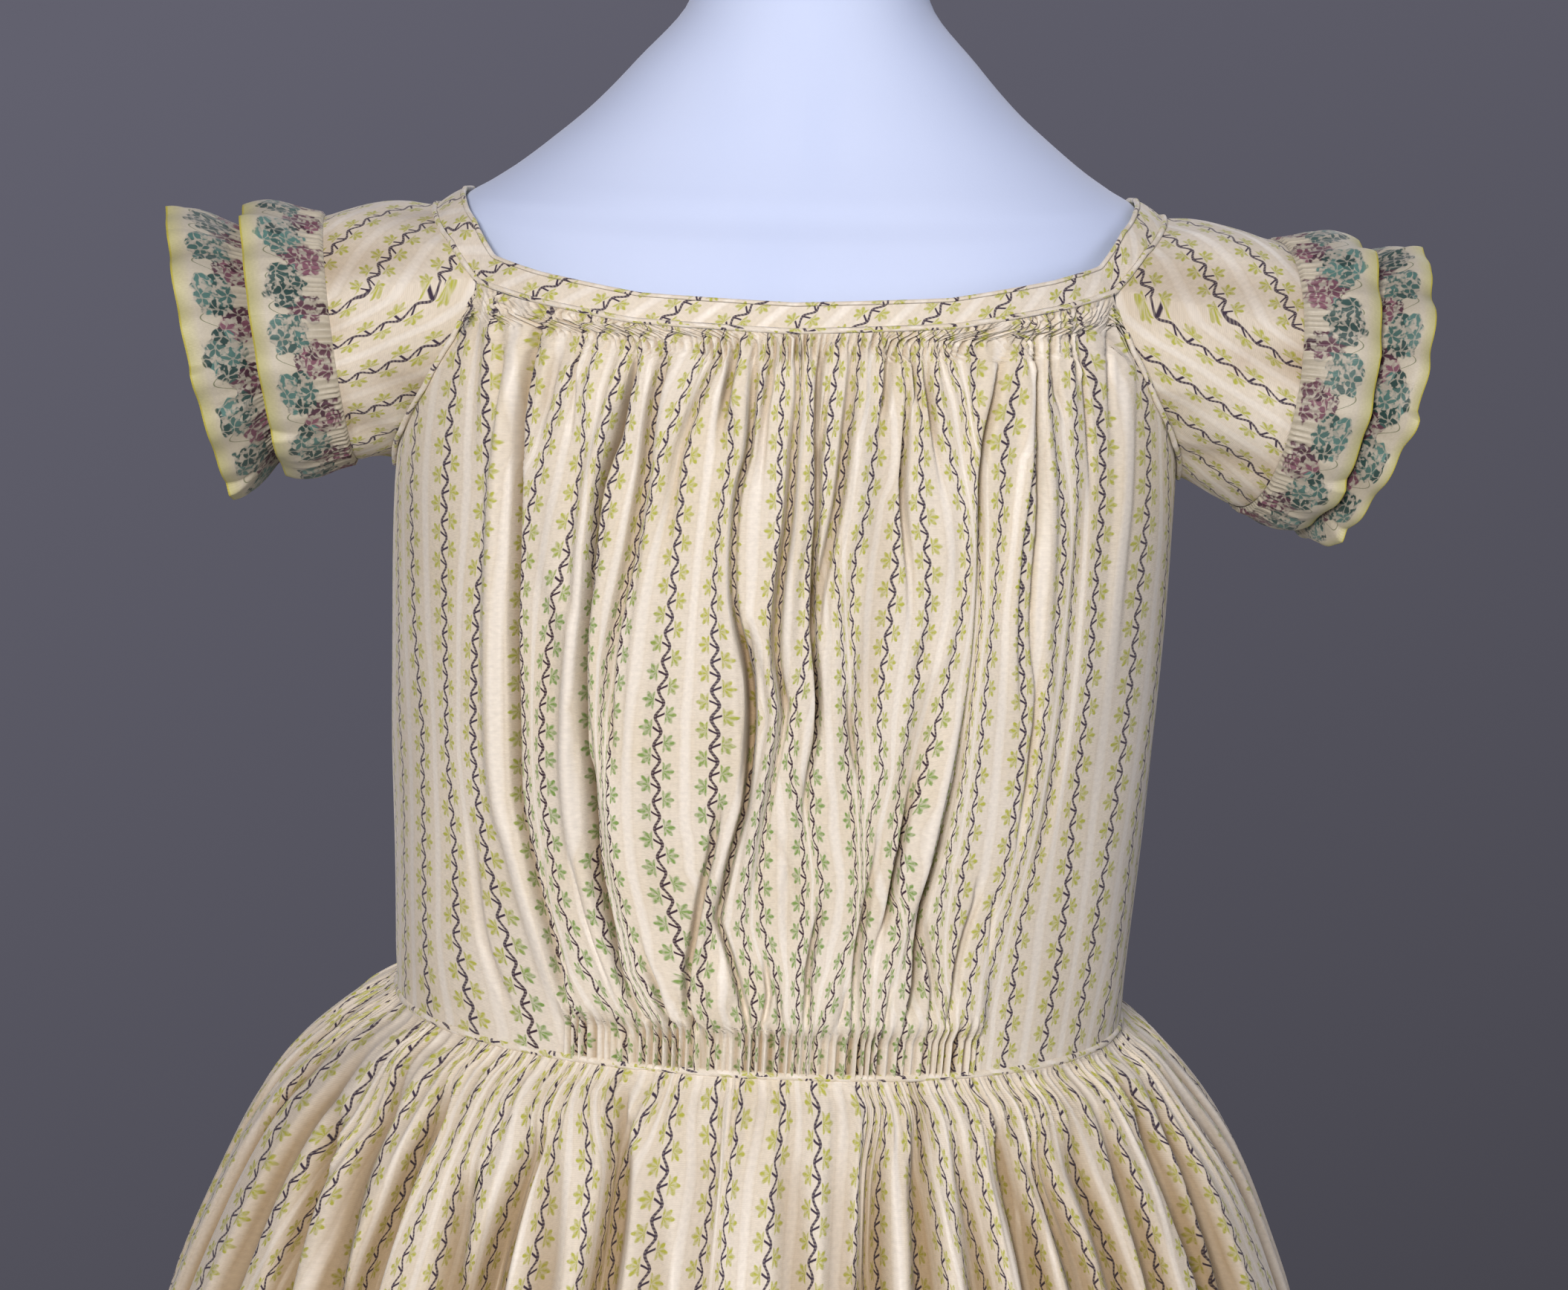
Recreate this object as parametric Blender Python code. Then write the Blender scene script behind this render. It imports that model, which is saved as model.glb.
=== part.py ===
"""Girl's gathered dress of the 1830s or 1840s, worn by a limbless dress form on a stand.

Metres, +Z up, the front of the dress towards -Y, its left side in the picture towards -X.
The origin is the middle of the underside of the stand's base.
"""
from collections import namedtuple
from math import atan2, cos, pi, radians, sin, tan

import bmesh
import bpy
from mathutils import Vector

MM = 0.001

# Cloth
CLOTH = 2.2 * MM              # wall of the gathered cloth, measured straight out from the body
SLEEVE_CLOTH = 1.6 * MM
BAND_CLOTH = 1.6 * MM
RIBBON_CLOTH = 1.3 * MM
SEAM_GAP = 0.3 * MM           # room between two pieces that are sewn together

# Body of the dress
PLAN_POWER = 2.3              # 2 is an ellipse; more is squarer
FORM_POWER = 2.1
WAIST_HEIGHT = 0.7785
WAIST_DIP = 1.5 * MM          # the waist seam is this much lower in front, higher behind
LEAN = tan(radians(1.9))      # the shoulders slope, higher on the +X side
LEAN_START = 0.79
LEAN_END = 0.93
CORNER_ANGLE = radians(61)    # where the front of the neckline turns up to the shoulder

# Piping
NECK_CORD = 0.8 * MM          # radius
WAIST_CORD = 1.1 * MM
ARM_CORD = 0.75 * MM

# Skirt
SKIRT_WIDTHS = 5
GATHERS_A_WIDTH = 16          # two gathers run together into one fold at the hem
SKIRT_LENGTH = 0.520
WAIST_GATHER = 1.1 * MM       # height of a gather at the seam, from the middle
HEM_FOLD = 6.5 * MM
FOLD_DRIFT = 0.30             # how far a fold strays from even spacing, in columns
SKIRT_LEFT_FULLNESS = 3.5 * MM

# Stand
BASE_RADIUS = 0.150
BASE_HEIGHT = 0.016
POLE_RADIUS = 0.0125

BodySection = namedtuple("BodySection", "z half_width front_depth back_depth")
BODY_SECTIONS = [
    BodySection(0.770, 0.1078, 0.0880, 0.0850),
    BodySection(0.800, 0.1092, 0.0895, 0.0865),
    BodySection(0.860, 0.1124, 0.0918, 0.0895),
    BodySection(0.930, 0.1142, 0.0905, 0.0910),
    BodySection(0.965, 0.1118, 0.0870, 0.0890),
    BodySection(0.996, 0.1066, 0.0812, 0.0830),
    BodySection(1.015, 0.1060, 0.0800, 0.0810),
]

NeckPoint = namedtuple("NeckPoint", "angle z lean width")
NECKLINE = [                  # seam under the neckband, from centre front (0) to centre back (180)
    NeckPoint(0, 0.9877, 14, 8.2),
    NeckPoint(30, 0.9893, 18, 8.2),
    NeckPoint(50, 0.9935, 26, 8.4),
    NeckPoint(61, 0.9966, 34, 8.8),
    NeckPoint(70, 1.0060, 46, 9.6),
    NeckPoint(80, 1.0115, 55, 10.2),
    NeckPoint(90, 1.0133, 58, 10.4),
    NeckPoint(100, 1.0115, 55, 10.2),
    NeckPoint(110, 1.0060, 46, 9.6),
    NeckPoint(119, 0.9966, 34, 8.8),
    NeckPoint(130, 0.9938, 26, 8.4),
    NeckPoint(150, 0.9905, 18, 8.2),
    NeckPoint(180, 0.9895, 14, 8.2),
]

# Where the neckband and its cord have their points, in degrees from centre front
NECK_ANGLES = [0, 6, 12, 18, 24, 30, 36, 42, 48, 53, 57.5, 61, 65.5, 70, 75, 80, 85, 90,
               95, 100, 105, 110, 114.5, 119, 123, 128, 134, 140, 147, 154, 161, 168, 174, 179.9]
BAND_SWELL = 0.35 * MM        # the band is a little rounded between its edges

ArmPoint = namedtuple("ArmPoint", "angle z")
ARMHOLE = [                   # seam from the neckline's corner down to under the arm
    ArmPoint(61.0, 0.9950),
    ArmPoint(63.5, 0.9830),
    ArmPoint(68.8, 0.9678),
    ArmPoint(77.8, 0.9515),
    ArmPoint(90.0, 0.9380),
]

# Valleys of the front's gathers: millimetres to the side of centre front, at six heights
FRONT_LEVELS = [0.7865, 0.808, 0.850, 0.8915, 0.933, 0.975]
Gather = namedtuple("Gather", "waist low midriff rib bust neck depth")
FRONT_GATHERS = [
    Gather(-48, -56, -72, -75, -77, -76, 3.6),
    Gather(-43, -50, -64, -68, -69, -66, 1.4),
    Gather(-37, -45, -56, -61, -60, -55, 1.4),
    Gather(-28, -37, -47, -54, -53, -45, 3.6),
    Gather(-23, -32, -40, -43, -40, -38, 1.8),
    Gather(-19, -27, -33, -34, -31, -31, 1.2),
    Gather(-15, -22, -25, -26, -25, -24, 1.4),
    Gather(-10, -17, -17, -18, -20, -17, 2.2),
    Gather(-4, -8, -7, -8, -13, -9, 3.0),
    Gather(1, -2, 1, 1, -3, -1, 1.6),
    Gather(6, 4, 9, 11, 8, 8, 2.4),
    Gather(11, 10, 16, 18, 17, 17, 1.4),
    Gather(16, 16, 22, 25, 25, 25, 1.2),
    Gather(21, 22, 28, 31, 33, 33, 2.0),
    Gather(26, 28, 34, 38, 40, 41, 1.2),
    Gather(32, 35, 40, 44, 48, 49, 1.6),
    Gather(37, 41, 46, 52, 56, 57, 2.4),
    Gather(43, 46, 53, 58, 63, 64, 2.0),
    Gather(48, 51, 59, 68, 70, 71, 2.8),
    Gather(54, 57, 68, 76, 77, 78, 1.6),
    Gather(59, 64, 76, 83, 84, 84, 1.2),
]
# Valleys of each back's gathers, in millimetres to the side of centre back
BACK_GATHERS = [
    Gather(7, 8, 9, 9, 9, 8, 1.4),
    Gather(13, 14, 16, 18, 18, 17, 2.6),
    Gather(18, 21, 25, 27, 28, 27, 1.6),
    Gather(24, 28, 33, 36, 37, 36, 2.2),
    Gather(30, 35, 42, 45, 46, 45, 1.4),
    Gather(36, 42, 51, 55, 55, 54, 2.8),
    Gather(42, 50, 60, 64, 65, 63, 1.6),
    Gather(48, 58, 69, 74, 74, 72, 2.4),
]

RIDGE_SHARE = 0.45            # a ridge stands this share of its valleys' depth
BODICE_ROWS = [0.0, 0.03, 0.09, 0.18, 0.32, 0.48, 0.63, 0.77, 0.88, 0.96, 1.0]
# The flat sides: each column's angle at the top, and its share of the way to the side at the waist
SideColumn = namedtuple("SideColumn", "top share")
SIDE_COLUMNS = [SideColumn(61.2, 0.22), SideColumn(65.0, 0.42), SideColumn(70.0, 0.60),
                SideColumn(77.8, 0.80), SideColumn(90.0, 1.0)]

SkirtSection = namedtuple("SkirtSection", "drop half_width front_depth back_depth")
SKIRT_SECTIONS = [
    SkirtSection(0, 0.1080, 0.0882, 0.0860),
    SkirtSection(10, 0.1215, 0.1010, 0.1040),
    SkirtSection(36, 0.1440, 0.1210, 0.1290),
    SkirtSection(60, 0.1560, 0.1340, 0.1450),
    SkirtSection(100, 0.1705, 0.1495, 0.1620),
    SkirtSection(180, 0.1850, 0.1680, 0.1800),
    SkirtSection(300, 0.1960, 0.1820, 0.1930),
    SkirtSection(420, 0.2030, 0.1910, 0.2010),
    SkirtSection(520, 0.2080, 0.1970, 0.2070),
]
SKIRT_ROWS = [0, 5, 20, 50, 110, 220, 370, 520]      # millimetres below the waist seam
SKIRT_UNEVEN = [                                      # how deep one fold is beside the next
    1.15, 0.75, 1.0, 0.6, 1.25, 0.85, 0.7, 1.1,
]

Ring = namedtuple("Ring", "x z radius droop swing")
SleeveSet = namedtuple("SleeveSet", "cuff inner_edge hem outer_edge")
SLEEVES = {                   # droop and swing turn the ring down and back, in degrees
    "left": SleeveSet(
        cuff=Ring(-0.1320, 0.9735, 0.0360, 9.9, -2),
        inner_edge=Ring(-0.1540, 0.9722, 0.0401, 11.4, -2),
        hem=Ring(-0.1515, 0.9722, 0.0312, 11.0, -2),
        outer_edge=Ring(-0.1722, 0.9682, 0.0430, 15.0, -2)),
    "right": SleeveSet(
        cuff=Ring(0.1360, 0.9678, 0.0390, 5.9, 13),
        inner_edge=Ring(0.1556, 0.9656, 0.0424, 8.5, 14),
        hem=Ring(0.1535, 0.9660, 0.0336, 9.0, 14),
        outer_edge=Ring(0.1668, 0.9620, 0.0440, 16.0, 15)),
}
# The armhole seen from the side: turn 0 is its front and 90 the shoulder, angle is the place on
# the body, and start is how many millimetres outside the seam the sleeve begins
CORNER_TURN = 26
HeadPoint = namedtuple("HeadPoint", "turn angle start")
HEAD_QUARTER = [
    HeadPoint(-90, 90.0, 0.8),
    HeadPoint(-55, 82.0, 0.9),
    HeadPoint(-30, 77.0, 0.9),
    HeadPoint(-6, 69.5, 0.8),
    HeadPoint(10, 65.0, 0.8),
    HeadPoint(CORNER_TURN, 61.6, 1.0),
]
SHOULDER_QUARTER = [
    HeadPoint(CORNER_TURN, 61.6, 1.3),
    HeadPoint(44, 70.0, 1.4),
    HeadPoint(66, 80.0, 1.4),
    HeadPoint(90, 90.0, 1.4),
]
SLEEVE_PUFF = 2.0 * MM
FRILL_WAVES = 16
FrillShape = namedtuple("FrillShape", "start wave phase")
FRILLS = {
    "inner": FrillShape(start=0.6 * MM, wave=1.2 * MM, phase=0.3),
    "outer": FrillShape(start=0.6 * MM, wave=1.7 * MM, phase=1.1),
}

# Points of the cord round each armhole, in degrees from centre front
ARM_CORD_ANGLES = [62.5, 64, 66, 69, 73, 78, 84, 90, 96, 102, 107, 111, 114, 116, 117.5]

FormSection = namedtuple("FormSection", "z half_width front_depth back_depth")
FORM_SECTIONS = [
    FormSection(0.620, 0.096, 0.082, 0.090),
    FormSection(0.628, 0.106, 0.090, 0.099),
    FormSection(0.660, 0.113, 0.093, 0.106),
    FormSection(0.720, 0.108, 0.088, 0.098),
    FormSection(0.778, 0.098, 0.078, 0.076),
    FormSection(0.850, 0.102, 0.081, 0.080),
    FormSection(0.930, 0.105, 0.080, 0.081),
    FormSection(0.975, 0.104, 0.074, 0.076),
    FormSection(0.996, 0.102, 0.069, 0.071),
    FormSection(1.0090, 0.1010, 0.064, 0.066),
    FormSection(1.0160, 0.0972, 0.059, 0.061),
    FormSection(1.0205, 0.0900, 0.057, 0.059),
    FormSection(1.0255, 0.0825, 0.054, 0.057),
    FormSection(1.0330, 0.0730, 0.050, 0.054),
    FormSection(1.0430, 0.0615, 0.046, 0.050),
    FormSection(1.0560, 0.0495, 0.041, 0.044),
    FormSection(1.0745, 0.0345, 0.036, 0.039),
    FormSection(1.0950, 0.0300, 0.033, 0.035),
    FormSection(1.1120, 0.0290, 0.032, 0.034),
    FormSection(1.1170, 0.0250, 0.028, 0.030),
]

CREAM = (0.76, 0.70, 0.60)
PIPING = (0.72, 0.65, 0.52)
RIBBON = (0.72, 0.70, 0.45)
COVER = (0.66, 0.72, 0.90)


def curve_value(x, xs, ys):
    """Smooth curve through a short table, with no overshoot between rows."""
    if x <= xs[0]:
        return ys[0]
    if x >= xs[-1]:
        return ys[-1]
    i = max(k for k in range(len(xs) - 1) if xs[k] <= x)
    slopes = [(ys[k + 1] - ys[k]) / (xs[k + 1] - xs[k]) for k in range(len(xs) - 1)]

    def tangent(k):
        if k == 0:
            return slopes[0]
        if k == len(xs) - 1:
            return slopes[-1]
        before, after = slopes[k - 1], slopes[k]
        if before * after <= 0:
            return 0.0
        return 2 * before * after / (before + after)

    step = xs[i + 1] - xs[i]
    t = (x - xs[i]) / step
    return ((2 * t**3 - 3 * t**2 + 1) * ys[i] + (t**3 - 2 * t**2 + t) * step * tangent(i)
            + (3 * t**2 - 2 * t**3) * ys[i + 1] + (t**3 - t**2) * step * tangent(i + 1))


def straight_value(x, xs, ys):
    """Straight lines through a short table."""
    if x <= xs[0]:
        return ys[0]
    for k in range(len(xs) - 1):
        if x <= xs[k + 1]:
            return ys[k] + (ys[k + 1] - ys[k]) * (x - xs[k]) / (xs[k + 1] - xs[k])
    return ys[-1]


def smooth_step(x, start, end):
    t = min(max((x - start) / (end - start), 0.0), 1.0)
    return t * t * (3 - 2 * t)


def table_curve(rows, key, value, x):
    return curve_value(x, [getattr(r, key) for r in rows], [getattr(r, value) for r in rows])


def plan_radius(angle, half_width, depth, power):
    """Distance from the axis to a squarish oval; angle 0 faces the front."""
    across = abs(sin(angle)) / half_width
    along = abs(cos(angle)) / depth
    return (across**power + along**power) ** (-1 / power)


def section_radius(rows, key, position, angle, power):
    side = "front_depth" if cos(angle) >= 0 else "back_depth"
    return plan_radius(angle, table_curve(rows, key, "half_width", position),
                       table_curve(rows, key, side, position), power)


def leaned(x, y, z):
    """The wearer's shoulders slope a little, and all above the waist goes with them."""
    return Vector((x, y, z + x * LEAN * smooth_step(z, LEAN_START, LEAN_END)))


def polar(angle, radius, z):
    return leaned(radius * sin(angle), -radius * cos(angle), z)


def body_radius(angle, z):
    return section_radius(BODY_SECTIONS, "z", z, angle, PLAN_POWER)


def waist_z(angle):
    return WAIST_HEIGHT - WAIST_DIP * cos(angle)


def neck_z(angle):
    degrees = abs(angle) * 180 / pi
    return straight_value(degrees, [p.angle for p in NECKLINE], [p.z for p in NECKLINE])


def armhole_z(angle):
    """Height of the armhole seam; the back's half mirrors the front's."""
    degrees = abs(angle) * 180 / pi
    return straight_value(min(degrees, 180 - degrees),
                          [p.angle for p in ARMHOLE], [p.z for p in ARMHOLE])


def bodice_top(angle):
    past_corner = min(abs(angle), pi - abs(angle)) > CORNER_ANGLE
    if past_corner:
        return armhole_z(angle) - SEAM_GAP
    return neck_z(angle) - NECK_CORD - SEAM_GAP


def new_object(name, mesh, colour, roughness, metallic=0.0):
    material = bpy.data.materials.new(name + "_material")
    material.use_nodes = True
    shader = material.node_tree.nodes["Principled BSDF"]
    shader.inputs["Base Color"].default_value = (*colour, 1)
    shader.inputs["Roughness"].default_value = roughness
    shader.inputs["Metallic"].default_value = metallic
    material.diffuse_color = (*colour, 1)
    mesh.materials.append(material)
    mesh.shade_smooth()
    mesh.set_sharp_from_angle(angle=radians(50))
    result = bpy.data.objects.new(name, mesh)
    bpy.context.scene.collection.objects.link(result)
    return result


def cloth_wall(name, outer, inner, is_tube, colour):
    """One closed solid from the outer and inner points of a cloth, row by row."""
    mesh = bpy.data.meshes.new(name)
    bm = bmesh.new()
    faces = []
    sides = [[[bm.verts.new(p) for p in row] for row in grid] for grid in (outer, inner)]
    rows, columns = len(outer), len(outer[0])
    spans = columns if is_tube else columns - 1
    for r in range(rows - 1):
        for c in range(spans):
            d = (c + 1) % columns
            for grid in sides:
                faces.append((grid[r][c], grid[r][d], grid[r + 1][d], grid[r + 1][c]))
    for r in (0, rows - 1):
        for c in range(spans):
            d = (c + 1) % columns
            faces.append((sides[0][r][c], sides[0][r][d], sides[1][r][d], sides[1][r][c]))
    if not is_tube:
        for c in (0, columns - 1):
            for r in range(rows - 1):
                faces.append((sides[0][r][c], sides[0][r + 1][c],
                              sides[1][r + 1][c], sides[1][r][c]))
    for corners in faces:
        bm.faces.new(corners)
    bmesh.ops.recalc_face_normals(bm, faces=bm.faces)
    bm.to_mesh(mesh)
    bm.free()
    return new_object(name, mesh, colour, roughness=0.7)


def round_cord(name, path, radius, sides=4):
    """A corded edge: a ring of points round each point of the path."""
    mesh = bpy.data.meshes.new(name)
    bm = bmesh.new()
    rings = []
    for i, point in enumerate(path):
        before, after = path[max(i - 1, 0)], path[min(i + 1, len(path) - 1)]
        along = (after - before).normalized()
        outward = Vector((point.x, point.y, 0)).normalized()
        outward = (outward - along * outward.dot(along)).normalized()
        across = along.cross(outward)
        turn = [2 * pi * (k + 0.5) / sides for k in range(sides)]
        rings.append([bm.verts.new(point + radius * (outward * cos(a) + across * sin(a)))
                      for a in turn])
    for a, b in zip(rings, rings[1:]):
        for k in range(sides):
            m = (k + 1) % sides
            bm.faces.new((a[k], a[m], b[m], b[k]))
    bm.faces.new(rings[0])
    bm.faces.new(rings[-1])
    bmesh.ops.recalc_face_normals(bm, faces=bm.faces)
    bm.to_mesh(mesh)
    bm.free()
    return new_object(name, mesh, PIPING, roughness=0.7)


def side_to_angle(side_mm, z, back):
    """Angle on the body's outline, from millimetres to the side of the centre line."""
    half_width = table_curve(BODY_SECTIONS, "z", "half_width", z)
    depth = table_curve(BODY_SECTIONS, "z", "back_depth" if back else "front_depth", z)
    share = min(abs(side_mm) * MM / half_width, 0.999)
    along = depth * (1 - share**PLAN_POWER) ** (1 / PLAN_POWER)
    angle = atan2(abs(side_mm) * MM, along)
    return angle if side_mm >= 0 else -angle


def gather_positions(gather):
    return [gather.waist, gather.low, gather.midriff, gather.rib, gather.bust, gather.neck]


def gathered_columns(gathers, back):
    """Angles at each level and heights, for the valleys and the ridges between them."""
    valleys = [gather_positions(g) for g in gathers]
    columns = []

    def add(positions, height):
        angles = [side_to_angle(x, z, back) for x, z in zip(positions, FRONT_LEVELS)]
        columns.append((angles, height))

    first_step = [(b - a) / 2 for a, b in zip(valleys[0], valleys[1])]
    add([a - s for a, s in zip(valleys[0], first_step)], RIDGE_SHARE * gathers[0].depth)
    for i, gather in enumerate(gathers):
        add(valleys[i], -gather.depth)
        if i < len(gathers) - 1:
            middle = [(a + b) / 2 for a, b in zip(valleys[i], valleys[i + 1])]
            add(middle, RIDGE_SHARE * (gather.depth + gathers[i + 1].depth) / 2)
    last_step = [(b - a) / 2 for a, b in zip(valleys[-2], valleys[-1])]
    add([a + s for a, s in zip(valleys[-1], last_step)], RIDGE_SHARE * gathers[-1].depth)
    return columns


def gather_envelope(share):
    """Gathers are fine at both seams and deepest between them; share runs up the bodice."""
    at_waist, at_neck = 0.30, 0.38
    rising = (1 - at_waist) * smooth_step(share, 0.0, 0.16)
    return at_waist + rising - (1 - at_neck) * smooth_step(share, 0.86, 1.0)


def bodice_panel(name, columns, columns_turn):
    """Columns run up the body, each with its angle at each level and its height."""
    rows_outer, rows_inner = [], []
    for share in BODICE_ROWS:
        outer_row, inner_row = [], []
        for angles, height in columns:
            bottom = waist_z(columns_turn(angles[0])) + WAIST_CORD + SEAM_GAP
            top = bodice_top(columns_turn(angles[-1]))
            z = bottom + share * (top - bottom)
            angle = columns_turn(curve_value(z, FRONT_LEVELS, angles))
            lift = height * MM * gather_envelope(share)
            radius = body_radius(angle, z) + lift
            outer_row.append(polar(angle, radius, z))
            inner_row.append(polar(angle, radius - CLOTH, z))
        rows_outer.append(outer_row)
        rows_inner.append(inner_row)
    return cloth_wall(name, rows_outer, rows_inner, False, CREAM)


def flat_columns(edge_angles, side):
    """Columns from the last gather to the side seam; side is -1 or 1, in angles from the front."""
    seam_clearance = SEAM_GAP / 2 / BODY_SECTIONS[3].half_width
    columns = []
    for column in SIDE_COLUMNS:
        top = side * min(radians(column.top), pi / 2 - seam_clearance)
        seam = side * (pi / 2 - seam_clearance)
        angles = []
        for level, edge in zip(FRONT_LEVELS, edge_angles):
            even = edge + (seam - edge) * column.share
            rise = smooth_step(level, FRONT_LEVELS[0], FRONT_LEVELS[-1])
            angles.append(even + (top - even) * rise)
        columns.append((angles, 0.0))
    return columns


def make_bodice():
    front = gathered_columns(FRONT_GATHERS, back=False)
    left = flat_columns(front[0][0], -1)[::-1]
    right = flat_columns(front[-1][0], 1)
    bodice_panel("bodice_front", left + front + right, lambda angle: angle)

    back = gathered_columns(BACK_GATHERS, back=True)
    centre = ([SEAM_GAP / 2 / BODY_SECTIONS[3].back_depth] * len(FRONT_LEVELS), 0.0)
    side = flat_columns(back[-1][0], 1)
    columns = [centre] + back + side
    bodice_panel("bodice_back_right", columns, lambda angle: pi - angle)
    bodice_panel("bodice_back_left", columns, lambda angle: angle - pi)


def neck_row(angle):
    degrees = abs(angle) * 180 / pi
    angles = [p.angle for p in NECKLINE]
    lean = straight_value(degrees, angles, [p.lean for p in NECKLINE])
    width = straight_value(degrees, angles, [p.width for p in NECKLINE])
    return radians(lean), width * MM


def neck_sweep():
    half = [radians(a) for a in NECK_ANGLES]
    return [-a for a in half[:0:-1]] + half


def make_neckband():
    lower_gap = NECK_CORD + 2 * SEAM_GAP
    outer, inner = [[], [], []], [[], [], []]
    for angle in neck_sweep():
        lean, width = neck_row(angle)
        for row, share in enumerate((0.0, 0.5, 1.0)):
            reach = lower_gap + share * (width - lower_gap)
            swell = BAND_SWELL * sin(pi * share)
            radius = body_radius(angle, neck_z(angle)) - reach * sin(lean) + swell * cos(lean)
            z = neck_z(angle) + reach * cos(lean) + swell * sin(lean)
            outer[row].append(polar(angle, radius, z))
            inner[row].append(polar(angle, radius - BAND_CLOTH * cos(lean),
                                    z - BAND_CLOTH * sin(lean)))
    cloth_wall("neckband", outer, inner, False, CREAM)


def make_piping():
    neck = [polar(a, body_radius(a, neck_z(a)) - 0.1 * MM, neck_z(a)) for a in neck_sweep()]
    round_cord("neck_piping", neck, NECK_CORD)

    steps = 72                # points of the waist cord
    start = SEAM_GAP / 2 / BODY_SECTIONS[0].back_depth
    sweep = [-pi + start + (2 * pi - 2 * start) * i / steps for i in range(steps + 1)]
    waist = [polar(a, body_radius(a, waist_z(a)) - 0.2 * MM, waist_z(a)) for a in sweep]
    round_cord("waist_piping", waist, WAIST_CORD)

    for name, side in (("left", -1), ("right", 1)):
        path = []
        for degrees in ARM_CORD_ANGLES:
            angle = side * radians(degrees)
            steepness = 1 + smooth_step(abs(degrees - 90), 8, 20)
            z = armhole_z(angle) - SEAM_GAP - 1.7 * ARM_CORD * steepness
            lift = ARM_CORD + SEAM_GAP
            path.append(polar(angle, body_radius(angle, z) + lift, z))
        round_cord("armhole_piping_" + name, path, ARM_CORD)


def skirt_shape(angle, drop_mm):
    fuller = SKIRT_LEFT_FULLNESS * max(0.0, -sin(angle)) * smooth_step(drop_mm, 0, 30)
    return section_radius(SKIRT_SECTIONS, "drop", drop_mm, angle, PLAN_POWER) + fuller


def make_skirt():
    names = ["skirt_front", "skirt_side_right", "skirt_back_right",
             "skirt_back_left", "skirt_side_left"]
    width_angle = 2 * pi / SKIRT_WIDTHS
    columns = 2 * GATHERS_A_WIDTH
    drop_start = WAIST_CORD + SEAM_GAP
    for index, name in enumerate(names):
        outer, inner = [], []
        for drop in SKIRT_ROWS:
            outer_row, inner_row = [], []
            fold = smooth_step(drop, 8, 200)
            grow = HEM_FOLD * (0.25 + 0.75 * smooth_step(drop, 30, SKIRT_LENGTH / MM))
            for c in range(columns + 1):
                hem_radius = skirt_shape(0, drop) * 0.9
                edge = SEAM_GAP / 2 / hem_radius
                drift = FOLD_DRIFT * sin(1.9 * c + 2.4 * index) if 0 < c < columns else 0
                share = (c + drift * fold) / columns
                angle = (index - 0.5) * width_angle + edge + (width_angle - 2 * edge) * share
                gather = WAIST_GATHER * (1 if c % 2 == 0 else -1)
                deep = (1, 0.1, -1, 0.1)[c % 4] * SKIRT_UNEVEN[(c // 4 + index) % 8]
                if c in (0, columns):
                    deep = 0.5
                lift = gather * (1 - fold) + grow * deep * fold
                radius = skirt_shape(angle, drop) + lift
                z = waist_z(angle) - drop_start - (SKIRT_LENGTH - drop_start) * drop / SKIRT_ROWS[-1]
                outer_row.append(polar(angle, radius, z))
                inner_row.append(polar(angle, radius - CLOTH, z))
            outer.append(outer_row)
            inner.append(inner_row)
        cloth_wall(name, outer, inner, False, CREAM)


def ring_frame(ring):
    """Centre, axis pointing out of the sleeve, the front and the up direction of a ring."""
    side = 1 if ring.x > 0 else -1
    droop, swing = radians(ring.droop), radians(ring.swing)
    axis = Vector((side * cos(droop) * cos(swing), cos(droop) * sin(swing), -sin(droop)))
    up = (Vector((0, 0, 1)) - axis * axis.z).normalized()
    front = Vector((0, -1, 0))
    front = (front - axis * front.dot(axis) - up * front.dot(up)).normalized()
    return Vector((ring.x, 0, ring.z)), axis, front, up


def ring_point(ring, turn, radius):
    centre, _, front, up = ring_frame(ring)
    return centre + radius * (front * cos(turn) + up * sin(turn))


def head_point(side, turn):
    """Point of the armhole seam where the sleeve starts; turn 0 faces front, pi / 2 up."""
    degrees = (turn * 180 / pi + 90) % 360 - 90
    behind = degrees > 90
    quarter = 180 - degrees if behind else degrees
    rows = HEAD_QUARTER if quarter <= CORNER_TURN else SHOULDER_QUARTER
    turns = [row.turn for row in rows]
    angle = straight_value(quarter, turns, [row.angle for row in rows])
    start = straight_value(quarter, turns, [row.start for row in rows]) * MM
    angle = radians(180 - angle if behind else angle)
    z = armhole_z(angle) if rows is HEAD_QUARTER else neck_z(angle)
    radius = body_radius(angle, z)
    drop = 0.6 * start if rows is SHOULDER_QUARTER else 0.0
    return Vector((side * (radius * sin(angle) + start), -radius * cos(angle), z - drop))


def sleeve_turns():
    """Turns round the sleeve, with one on each corner of the neckline."""
    under_steps, over_steps = 8, 7
    under = [-90 + (CORNER_TURN + 90) * i / under_steps for i in range(under_steps)]
    over = [CORNER_TURN + (90 - CORNER_TURN) * i / over_steps for i in range(over_steps)]
    front = under + over
    back = [180 - t for t in front[:0:-1]]
    return [radians(t) for t in front + [90] + back]


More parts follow.
